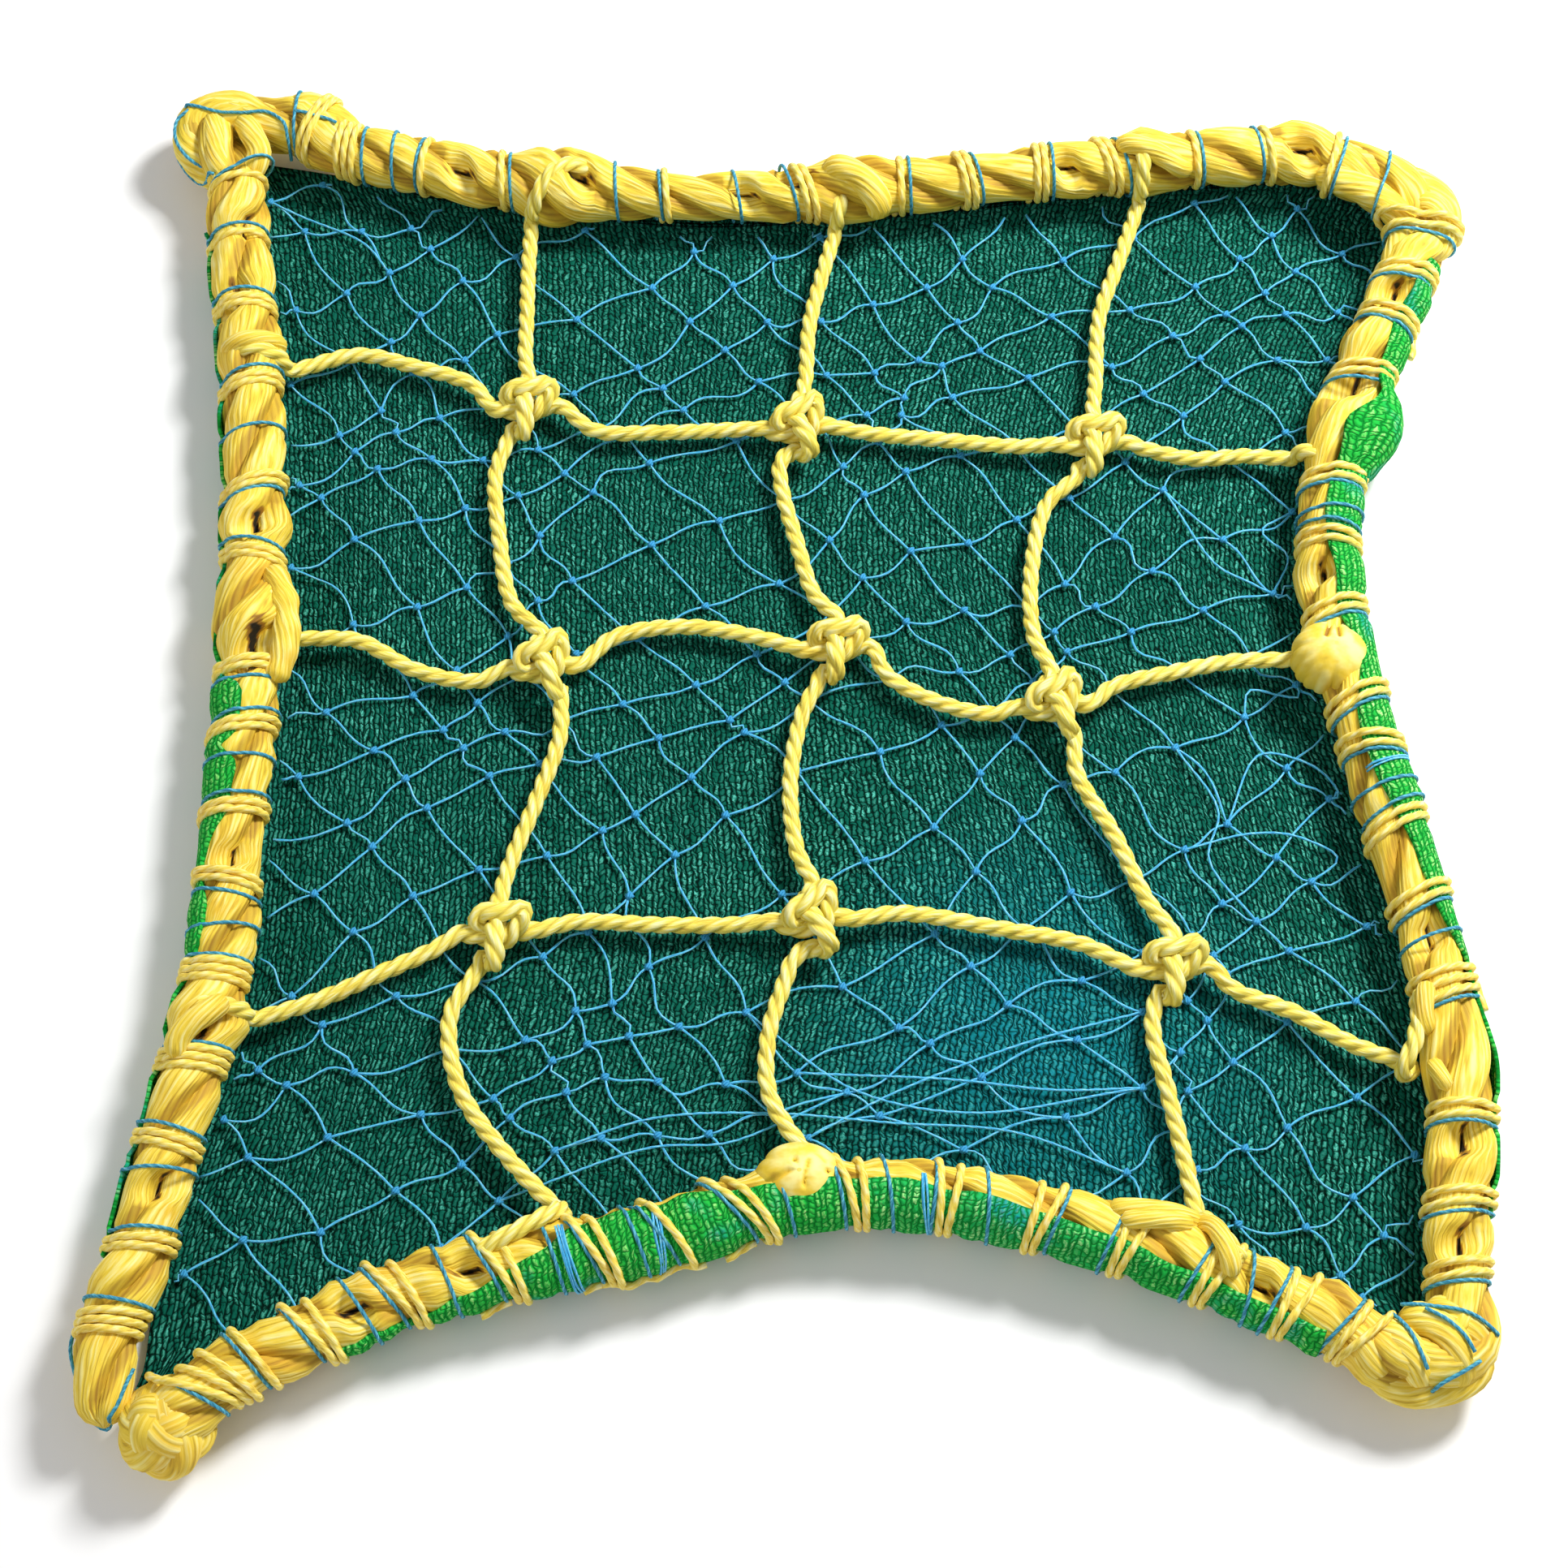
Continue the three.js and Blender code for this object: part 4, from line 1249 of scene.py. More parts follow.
def dress(
    mesh: PieceMesh, name: str, finish: bpy.types.Material, nodes: Sequence[str] = (),
) -> Piece:
    """Make a piece, give it its finish and hide the solids that it stands for.

    Args:
        mesh: the piece's arrays.
        name: name of the piece.
        finish: its material.
        nodes: solids that the piece replaces.

    Returns:
        The piece.
    """
    piece = mesh.make(name)
    piece.data.materials.append(finish)
    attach(piece, "root")
    if nodes:
        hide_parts(*nodes)
    LOG.info("%s: %d triangles", name, mesh.triangles)
    return piece


@dataclass
class ShadeCloth:
    """Green cloth that lies on the floor, its four edges turned up round the border rope."""

    border: Border
    ground: Ground
    finishes: Finishes
    cells: int = 168
    hem_steps: int = 14
    flat: tuple[float, float] = (0.49, 0.52)
    size: tuple[float, float] = (445.0, 470.0)
    slope: float = 1.2
    ragged: float = 5.0
    ragged_waves: tuple[float, ...] = (37, 23, 61)
    ragged_start: float = 2.1
    hem_ease: float = 40.0
    billow: float = 0.25
    hem_tone: tuple[float, float] = (-100.0, -50.0)

    def build(self) -> None:
        numbers = self._numbers
        places = self._grid_places().reshape(-1, 2)
        strips = [(numbers, self._grid().reshape(-1, 3), places, np.zeros(numbers.size))]
        count = numbers.size
        for side in Side:
            strips.append(self._hem(side, count))
            count += len(strips[-1][1])
        faces = np.vstack([self._quads(strip[0]) for strip in strips])
        points, places, tones = (np.concatenate([strip[k] for strip in strips]) for k in (1, 2, 3))
        mesh = PieceMesh()
        mesh.add_faces(points, faces, places[faces] * MM, tones)
        piece = dress(mesh, "green_cloth", self.finishes.cloth, ["shade_cloth"])
        wall = piece.modifiers.new("thickness", "SOLIDIFY")
        wall.thickness = CLOTH_THICK * MM
        wall.offset = 0.0

    @property
    def _numbers(self) -> Array:
        """Numbers of the flat cloth's points, by column and row."""
        return np.arange((self.cells + 1) ** 2).reshape(self.cells + 1, -1)

    @staticmethod
    def _quads(numbers: Array) -> Array:
        """Four-cornered faces between points that are numbered by column and row."""
        corners = (numbers[:-1, :-1], numbers[1:, :-1], numbers[1:, 1:], numbers[:-1, 1:])
        return np.stack(corners, axis=-1).reshape(-1, 4)

    @staticmethod
    def _area(points: Array, faces: Array) -> float:
        """Area of the cloth's middle face in square metres."""
        a, b, c, d = (points[faces[:, k]] for k in range(4))
        return float(np.linalg.norm(np.cross(c - a, d - b), axis=1).sum() / 2) * MM * MM

    def _edge(self, side: Side, shares: Array) -> Array:
        """The line on which a side of the flat cloth turns up into its hem.

        Args:
            side: side of the border.
            shares: places along it, from 0 to 1.

        Returns:
            One place for each share.
        """
        line = self.border.sides[side]
        sections = self.border.sections(line, shares * line.length)
        column = np.ones((len(shares), 1))
        turned = sections.points(HEM_START * column, HEM_MIDDLE * column)[:, 0]
        flat = sections.centre.copy()
        flat[:, 2] = CLOTH_THICK
        within = smooth(0, EDGE_CELL, np.minimum(shares, 1 - shares))[:, None]
        return flat + (turned - flat) * within

    def _grid(self) -> Array:
        """Lay the flat cloth out between its four edges.

        Returns:
            Its places, by column and row.
        """
        t = np.linspace(0, 1, self.cells + 1)
        left, right = self._edge(Side.LEFT, t), self._edge(Side.RIGHT, 1 - t)
        bottom, top = self._edge(Side.BOTTOM, 1 - t), self._edge(Side.TOP, t)
        u, v = t[:, None, None], t[None, :, None]
        across = bottom[:, None] * (1 - v) + top[:, None] * v
        up = left[None] * (1 - u) + right[None] * u
        corners = (
            left[0] * (1 - u) * (1 - v) + right[0] * u * (1 - v)
            + left[-1] * (1 - u) * v + right[-1] * u * v
        )
        grid = across + up - corners
        folds = self.ground.folds(grid[..., :2]) + CLOTH_THICK / 2
        fall_u = np.clip(1 - np.minimum(t, 1 - t) / EDGE_CELL, 0, 1) ** self.slope
        sides = np.maximum(
            np.where(t[:, None] < 0.5, left[None, :, 2], right[None, :, 2]) * fall_u[:, None],
            np.where(t[None] < 0.5, bottom[:, None, 2], top[:, None, 2]) * fall_u[None],
        )
        grid[..., 2] = np.maximum(folds, sides)
        return grid

    def _grid_places(self) -> Array:
        """Place of each grid point on the unrolled cloth."""
        t = np.linspace(0, 1, self.cells + 1)
        return np.stack(np.meshgrid(t * self.size[0], t * self.size[1], indexing="ij"), axis=-1)

    def _edge_numbers(self, side: Side) -> Array:
        """Numbers of the grid points on a side, in the order in which the border runs."""
        rows = {
            Side.LEFT: self._numbers[0],
            Side.TOP: self._numbers[:, -1],
            Side.RIGHT: self._numbers[-1, ::-1],
            Side.BOTTOM: self._numbers[::-1, 0],
        }
        return rows[side]

    def _hem(self, side: Side, count: int) -> tuple[Array, Array, Array, Array]:
        """Turn one edge of the cloth up round the rope.

        Args:
            side: side of the border.
            count: how many points there are already.

        Returns:
            Numbers of the strip's points, its new places, their places on the unrolled cloth and tones.
        """
        sizes = SIDES[side]
        line = self.border.sides[side]
        k = np.arange(self.cells + 1)
        chosen = k[(k / self.cells >= sizes.hem_from) & (k / self.cells <= sizes.hem_to)]
        shares = chosen / self.cells
        runs = np.array([self.border.run_of(side, share * line.length) for share in shares])
        sections = self.border.sections(line, shares * line.length)
        wave = waves(shares * line.length, self.ragged_waves, self.ragged_start + sizes.start[0])
        reach = self.border.cover(side, shares) + self.ragged * wave - HEM_START
        steps = np.arange(1, self.hem_steps + 1) / self.hem_steps
        angles = HEM_START + reach[:, None] * steps
        tight = self.border.hem_radius(runs)[:, None]
        ease = smooth(0, self.hem_ease, angles - HEM_START)
        billow = self.billow * np.sin(np.radians(angles * 3))
        place, half, angle, width, height = sizes.bulge
        out = np.exp(-(((shares * line.length - place) / half) ** 2))[:, None]
        billow += height * out * np.exp(-(((angles - angle) / width) ** 2))
        radii = HEM_MIDDLE + (tight + billow - HEM_MIDDLE) * ease
        strip = sections.points(angles, radii)
        edge = self._edge_numbers(side)[chosen]
        fresh = count + np.arange(strip.shape[0] * strip.shape[1]).reshape(strip.shape[:2])
        numbers = np.column_stack((edge, fresh))[:, ::-1]
        arc = np.radians(reach[:, None] * steps) * HEM_MIDDLE
        places = self._grid_places().reshape(-1, 2)[edge][:, None] + arc[..., None] * self._away(side)
        tones = smooth(*self.hem_tone, angles)
        return numbers, strip.reshape(-1, 3), places.reshape(-1, 2), tones.ravel()

    @staticmethod
    def _away(side: Side) -> Array:
        """Direction in which a side's hem runs on, on the unrolled cloth."""
        ways = {Side.LEFT: (-1, 0), Side.TOP: (0, 1), Side.RIGHT: (1, 0), Side.BOTTOM: (0, -1)}
        return np.array(ways[side], float)


@dataclass(frozen=True)
class Sway:
    """A slow wave of the netting: its reach along x and y, its length, its heading and its start."""

    x: float
    y: float
    wave: float
    heading: float
    start: float


@dataclass
class MiddleNet:
    """Blue netting: a lattice of knots and bars, swayed, gathered at the bottom and cut at the border."""

    ground: Ground
    finishes: Finishes
    bar: float = 21.0
    headings: tuple[float, float] = (27.0, 131.0)
    reach: int = 20
    edge: float = 10.5
    twist: Twist = Twist(0.46, 2, 3.2, 3, 0.3)
    knot_size: float = 0.56
    knot_half: tuple[float, float] = (1.15, 0.45)
    knot_rings: tuple[tuple[float, float], ...] = ((35, 0.3), (-50, -0.1))
    knot_points: int = 7
    knot_sides: int = 4
    knot_lift: float = 0.35
    knot_tone: float = 0.3
    jitter: float = 1.6
    slack: float = 1.7
    lean: float = 0.85
    shortest: float = 1.5
    step: float = 2.6
    cut_steps: int = 30
    loose_step: float = 2.4
    loose_lift: float = 0.5
    loose: tuple[tuple[tuple[float, float], ...], ...] = (
        ((126, -21), (141, -12), (158, -17), (165, -28), (165, -42)),
        ((122, -48), (136, -40), (151, -41), (163, -49), (167, -59)),
        ((150, 88), (147, 70), (155, 60), (169, 55)),
        ((123, 75), (131, 56), (144, 49), (158, 50)),
        ((123, 2), (139, 11), (155, 8), (165, -1)),
        ((111, -15), (126, -32), (122, -49), (131, -69)),
        ((-91, -141), (-55, -136), (-18, -134), (19, -137), (57, -140), (94, -141)),
        ((-95, -152), (-55, -145), (-30, -143), (4, -131)),
        ((-5, -118), (32, -123), (70, -127), (100, -125)),
        ((-23, -113), (9, -127), (44, -134), (92, -136)),
        ((-9, -139), (19, -128), (57, -113), (92, -101)),
        ((-194, 205), (-182, 197), (-163, 187), (-153, 172)),
    )
    sways: tuple[Sway, ...] = (
        Sway(5, 3, 150, 20, 30), Sway(-3, 5, 110, 100, 140), Sway(4, -4, 85, 155, 250),
    )
    gather: tuple[float, float, float, float, float] = (10, -95, 85, 50, 22)
    stretch: tuple[float, float, float, float, float] = (30, -118, 75, 45, 0.35)
    chance: np.random.Generator = field(default_factory=lambda: np.random.default_rng(SEED))

    def build(self) -> None:
        """Build the netting."""
        mesh = PieceMesh()
        numbers = range(-self.reach, self.reach + 1)
        knots = {(i, j): self._lattice(i, j) for i in numbers for j in numbers}
        within = {key for key, place in knots.items() if self._covered(place)}
        for i, j in sorted(within):
            for di, dj in ((1, 0), (0, 1), (-1, 0), (0, -1)):
                far = (i + di, j + dj)
                if far not in within:
                    self._bar(mesh, knots[i, j], self._cut(knots[i, j], self._lattice(*far)))
                elif di + dj > 0:
                    self._bar(mesh, knots[i, j], knots[far])
            self._knot(mesh, knots[i, j], self._lattice(i + 1, j) - knots[i, j])
        places = np.array([knots[key] for key in sorted(within)])
        for route in self.loose:
            self._loose_strand(mesh, route, places)
        dress(mesh, "blue_middle_net", self.finishes.net, ["mid_net"])

    def _lattice(self, i: int, j: int) -> Array:
        """Place of a knot in the plan.

        Args:
            i: its number along the first heading.
            j: its number along the second heading.

        Returns:
            Its x and y.
        """
        first, second = (np.radians(heading) for heading in self.headings)
        along = np.array((np.cos(first), np.sin(first)))
        across = np.array((np.cos(second), np.sin(second)))
        place = self.bar * (i * along + j * across)
        own = np.random.default_rng((SEED, i + 2 * self.reach, j + 2 * self.reach))
        moved = place + self.jitter * own.normal(size=2)
        for sway in self.sways:
            heading = np.radians(sway.heading)
            run = place[0] * np.cos(heading) + place[1] * np.sin(heading)
            wave = np.sin(2 * np.pi * run / sway.wave + np.radians(sway.start))
            moved += wave * np.array((sway.x, sway.y))
        x, y, wide, deep, pull = self.gather
        moved[1] -= pull * np.exp(-(((moved[0] - x) / wide) ** 2) - ((moved[1] - y) / deep) ** 2)
        x, y, wide, deep, share = self.stretch
        right, away = (moved[0] - x) / wide, (moved[1] - y) / deep
        moved[0] += share * wide * right * np.exp(-(right**2) - away**2)
        return moved

    def _covered(self, place: Array) -> bool:
        """Whether a place lies within the border, clear of the rope."""
        return bool(self.ground.inside(place) and self.ground.from_border(place) > self.edge)

    def _cut(self, near: Array, far: Array) -> Array:
        """The last place on the way from a knot to a place outside at which the bar still shows."""
        way = near + (far - near) * np.linspace(0, 1, self.cut_steps)[:, None]
        return [place for place in way if self._covered(place)][-1]

    def _raised(self, plan: Array, lift: float = 0.0) -> Array:
        """Places on the netting's level above the cloth."""
        return np.column_stack((plan, self.ground.top(plan) + NET_LEVEL + lift))

    def _bar(self, mesh: PieceMesh, start: Array, end: Array) -> None:
        """Add one bar, a little slack.

        Args:
            mesh: the piece.
            start: place of its first knot in the plan.
            end: place of its other end in the plan.
        """
        run = end - start
        length = float(np.linalg.norm(run))
        if length < self.shortest:
            return
        bow = self.slack * self.chance.normal() * min(length / self.bar, 1.0)
        lean = self.lean * self.chance.normal()
        t = np.linspace(0, 1, max(int(length / self.step), 3) + 1)
        left = np.array((-run[1], run[0])) / length
        strays = bow * np.sin(np.pi * t) + lean * np.sin(2 * np.pi * t)
        plan = start + run * t[:, None] + left * strays[:, None]
        add_cord(mesh, self._raised(plan), self.twist)

    def _loose_strand(self, mesh: PieceMesh, route: tuple[tuple[float, float], ...], knots: Array) -> None:
        """Add a slack strand from knot to knot.

        Args:
            mesh: the piece.
            route: places of the strand in the plan.
            knots: places of the netting's knots, at the nearest of which the strand starts and ends.
        """
        plan = np.array(route, float)
        for end in (0, -1):
            plan[end] = knots[np.argmin(np.linalg.norm(knots - plan[end], axis=1))]
        line = Spline(np.column_stack((plan, np.zeros(len(plan)))))
        runs = np.linspace(0, line.length, int(line.length / self.loose_step) + 1)
        add_cord(mesh, self._raised(line.at(runs)[:, :2], self.loose_lift), self.twist)

    def _knot(self, mesh: PieceMesh, place: Array, along: Array) -> None:
        """Add one knot: two small rings of twine that cross.

        Args:
            mesh: the piece.
            place: the knot's place in the plan.
            along: direction of one of its bars.
        """
        middle = self._raised(place[None], self.knot_lift)[0]
        heading = np.append(unit(along), 0.0)
        side = np.array((-heading[1], heading[0], 0.0))
        half_long, half_wide = self.knot_half
        t = 2 * np.pi * np.arange(self.knot_points)[:, None] / self.knot_points
        ring = 2 * np.pi * np.arange(self.knot_sides)[:, None] / self.knot_sides
        for turn, rise in self.knot_rings:
            angle = np.radians(turn)
            way = heading * np.cos(angle) + side * np.sin(angle)
            across = np.cross(UP, way)
            path = middle + half_long * np.cos(t) * way + half_wide * np.sin(t) * across + UP * rise
            _, normals, sides = carried_frames(path, UP, closed=True)
            wall = normals[:, None] * np.cos(ring) + sides[:, None] * np.sin(ring)
            rings = path[:, None] + self.knot_size * wall
            mesh.add_tube(rings, np.full(rings.shape[:2], self.knot_tone), closed=True)


@dataclass(frozen=True)
class Knot:
    """A crossing of two cords, the turn of its knot, and -1 where the column leaves it to the right."""

    x: float
    y: float
    turn: float
    leave: int = 1


class HitchKind(Enum):
    """How a cord is hitched: places along the border, angles up from its outer side, and radii."""

    OVER = (
        (0, 196, 13.75), (1, 166, 13.8), (3, 136, 13.4), (6, 110, 13.0), (10, 90, 12.2), (14, 76, 10.4),
        (19, 66, 7),
    )
    STRAIGHT = (
        (0, 196, 13.6), (0, 168, 13.2), (0.5, 140, 12.8), (1, 115, 12.0), (1.5, 95, 10.0), (2, 80, 7),
    )
    LAID = (
        (0, 196, 13.6), (0.4, 172, 13.4), (2.5, 151, 13.2), (7, 137, 12.8), (13, 126, 12.2), (20, 119, 10.8),
        (26, 115, 8),
    )
    ALONG = ((0, 196, 13.6), (0.5, 174, 13.4), (2, 154, 12.8), (6, 140, 11.8), (11, 130, 9.5), (15, 124, 7))
    ROUND = (
        (0, 196, 12.8), (0, 166, 11.6), (0.6, 136, 10.8), (1.4, 106, 10.2), (2.2, 80, 9.2), (2.8, 58, 7.5),
        (3.2, 40, 5),
    )
    UNDER = ((0, 196, 13.75), (0.5, 175, 12.4), (1.5, 155, 10.4), (3, 138, 7))
    HOOK = (
        (0, 196, 13.75), (-3, 184, 16.6), (-1, 166, 17.6), (5, 156, 15.4), (12, 152, 13.0), (19, 150, 10.4),
        (25, 150, 7),
    )


@dataclass(frozen=True)
class Hitch:
    """Where a cord is hitched to the border, which way its turn goes along it, and how it is hitched."""

    side: Side
    along: float
    way: int
    kind: HitchKind


@dataclass(frozen=True)
class CordRow:
    """One cord: its two hitches, and how far each bar strays to its left at three places."""

    start: Hitch
    end: Hitch
    bows: Route


@dataclass
class CordNet:
    """Three rows and columns of laid yellow cord, knotted where they cross and hitched to the border."""

    border: Border
    ground: Ground
    finishes: Finishes
    twist: Twist = Twist(2.8, 3, -19.0, 9, follows=True, shade=0.85)
    step: float = 1.4
    knot_lift: float = 1.0
    knots: tuple[tuple[Knot, ...], ...] = (
        (Knot(-102, 116, 0), Knot(-9, 108, 24), Knot(91, 102, 0)),
        (Knot(-93, 17, 24, -1), Knot(3, 24, 0), Knot(74, 3, 24, -1)),
        (Knot(-104, -76, 0), Knot(-5, -72, 32), Knot(107, -88, 0)),
    )
    rows: tuple[CordRow, ...] = (
        CordRow(Hitch(Side.LEFT, 356, 1, HitchKind.ROUND), Hitch(Side.RIGHT, 125, 1, HitchKind.UNDER),
                ((12, 10, 6), (-6, -5, -2), (0, -1, -2), (0, -3, 0))),
        CordRow(Hitch(Side.LEFT, 254, 1, HitchKind.ALONG), Hitch(Side.RIGHT, 196, 1, HitchKind.UNDER),
                ((2, -6, -7), (10, 12, 6), (-4, -9, -8), (3, 4, 4))),
        CordRow(Hitch(Side.LEFT, 124, -1, HitchKind.ROUND), Hitch(Side.RIGHT, 340, -1, HitchKind.HOOK),
                ((-1, 0, 2), (3, 1, 0), (7, 6, 4), (2, 3, 1))),
    )
    columns: tuple[CordRow, ...] = (
        CordRow(Hitch(Side.TOP, 112, 1, HitchKind.OVER), Hitch(Side.BOTTOM, 271, 1, HitchKind.LAID),
                ((-1, -1, -1), (-12, -12, -9), (9, 5, 0), (-20, -22, -13))),
        CordRow(Hitch(Side.TOP, 217, 1, HitchKind.UNDER), Hitch(Side.BOTTOM, 196, 1, HitchKind.UNDER),
                ((-2, -3, -1), (-9, -7, -4), (-9, -11, -7), (-8, -13, -12))),
        CordRow(Hitch(Side.TOP, 325, 1, HitchKind.STRAIGHT), Hitch(Side.BOTTOM, 82, -1, HitchKind.ALONG),
                ((-3, -6, -3), (-12, -14, -10), (-2, 1, 2), (-8, -5, -2))),
    )
    knot_stretch: tuple[float, float, float] = (1.24, 1.24, 1.12)
    knot_swell: float = 0.18
    knot_reach: tuple[float, float] = (8.0, 15.0)
    row_pass: Route = (
        (-1.5, -0.05, 0.55), (-0.9, -0.1, 0.5), (-0.1, -0.25, 0.45), (0.4, -0.3, 0.6), (0.75, 0.08, 0.85),
        (1.08, 0.5, 1.15), (1.0, 0.8, 1.35), (0.6, 0.66, 1.4), (0, 0.55, 1.45), (-0.55, 0.6, 1.3),
        (-0.85, 0.36, 0.95), (-0.5, 0.1, 0.5), (0.1, 0.05, 0.35), (0.85, 0.1, 0.4), (1.5, 0.08, 0.55),
    )
    column_pass: Route = (
        (0.05, 1.4, 0.7), (0.05, 1.0, 0.75), (0, 0.55, 0.75), (-0.05, 0.1, 1.15), (-0.05, -0.5, 1.4),
        (0, -1.1, 1.25), (-0.05, -1.45, 0.85), (-0.25, -1.25, 0.42), (-0.5, -1.05, 0.38), (-0.8, -1.7, 0.45),
    )

    def build(self) -> None:
        """Build the six cords."""
        for number, cord in enumerate(self.rows):
            self._piece(f"cord_row_{number + 1}", self._route(cord, self.knots[number], self.row_pass))
        for number, cord in enumerate(self.columns):
            knots = tuple(row[number] for row in self.knots)
            self._piece(f"cord_column_{number + 1}", self._route(cord, knots, self.column_pass))

    def _piece(self, name: str, route: Spline) -> None:
        """Make one cord.

        Args:
            name: name of the piece.
            route: the way that the cord takes.
        """
        runs = np.linspace(0, route.length, int(route.length / self.step) + 1)
        places = route.at(runs)
        away = [np.hypot(places[:, 0] - knot.x, places[:, 1] - knot.y) for row in self.knots for knot in row]
        swell = 1 + self.knot_swell * (1 - smooth(*self.knot_reach, np.min(away, axis=0)))
        mesh = PieceMesh()
        add_cord(mesh, places, self.twist, UP, rounded_ends(runs, self.twist.radius) * swell)
        dress(mesh, name, self.finishes.cord, ["rope_net"])

    def _level(self, x: float, y: float) -> float:
        """Height of a cord's middle where it lies on the netting."""
        return float(self.ground.top(np.array((x, y)))) + CORD_LEVEL

    def _hitch(self, hitch: Hitch) -> list[Array]:
        """Places of a cord's turn over the border, from its free run to its end."""
        return list(self.border.round_side(hitch.side, hitch.along, hitch.kind.value, hitch.way))

    def _crossing(self, knot: Knot, way: Route) -> list[Array]:
        """Places of a cord's way through a knot.

        Args:
            knot: the knot.
            way: the way through it, in cord sizes from its middle.

        Returns:
            The places.
        """
        middle = np.array((knot.x, knot.y, self._level(knot.x, knot.y) - CORD_RADIUS + self.knot_lift))
        rows = np.array(way) * CORD_SIZE * self.knot_stretch
        rows[:, 0] *= knot.leave if way is self.column_pass else 1
        turn = np.radians(knot.turn) * (1 - np.abs(np.linspace(-1, 1, len(rows))) ** 3)
        x = rows[:, 0] * np.cos(turn) - rows[:, 1] * np.sin(turn)
        y = rows[:, 0] * np.sin(turn) + rows[:, 1] * np.cos(turn)
        return list(middle + np.column_stack((x, y, rows[:, 2])))

    def _bar(self, start: Sequence[float], end: Sequence[float], bows: Sequence[float]) -> list[Array]:
        """Places of a bar between two stops.

        Args:
            start: its first stop in the plan.
            end: its last stop in the plan.
            bows: how far it strays to its left at even steps.

        Returns:
            The places between the stops.
        """
        run = np.subtract(end, start)
        left = unit(np.array((-run[1], run[0])))
        places = []
        for k, bow in enumerate(bows):
            x, y = np.array(start) + run * (k + 1) / (len(bows) + 1) + left * bow
            places.append(np.array((x, y, self._level(x, y))))
        return places

    def _route(self, cord: CordRow, knots: Sequence[Knot], way: Route) -> Spline:
        """Lay a cord from hitch to hitch through its knots.

        Args:
            cord: the cord's hitches and bows.
            knots: the knots that it passes.
            way: its way through each knot.

        Returns:
            The cord's curve.
        """
        start = self._hitch(cord.start)[::-1]
        end = self._hitch(cord.end)
        stops = [tuple(start[-1][:2]), *((knot.x, knot.y) for knot in knots), tuple(end[0][:2])]
        route = list(start)
        for k, bows in enumerate(cord.bows):
            route += self._bar(stops[k], stops[k + 1], bows)
            route += self._crossing(knots[k], way) if k < len(knots) else end
        return Spline(np.array(route))


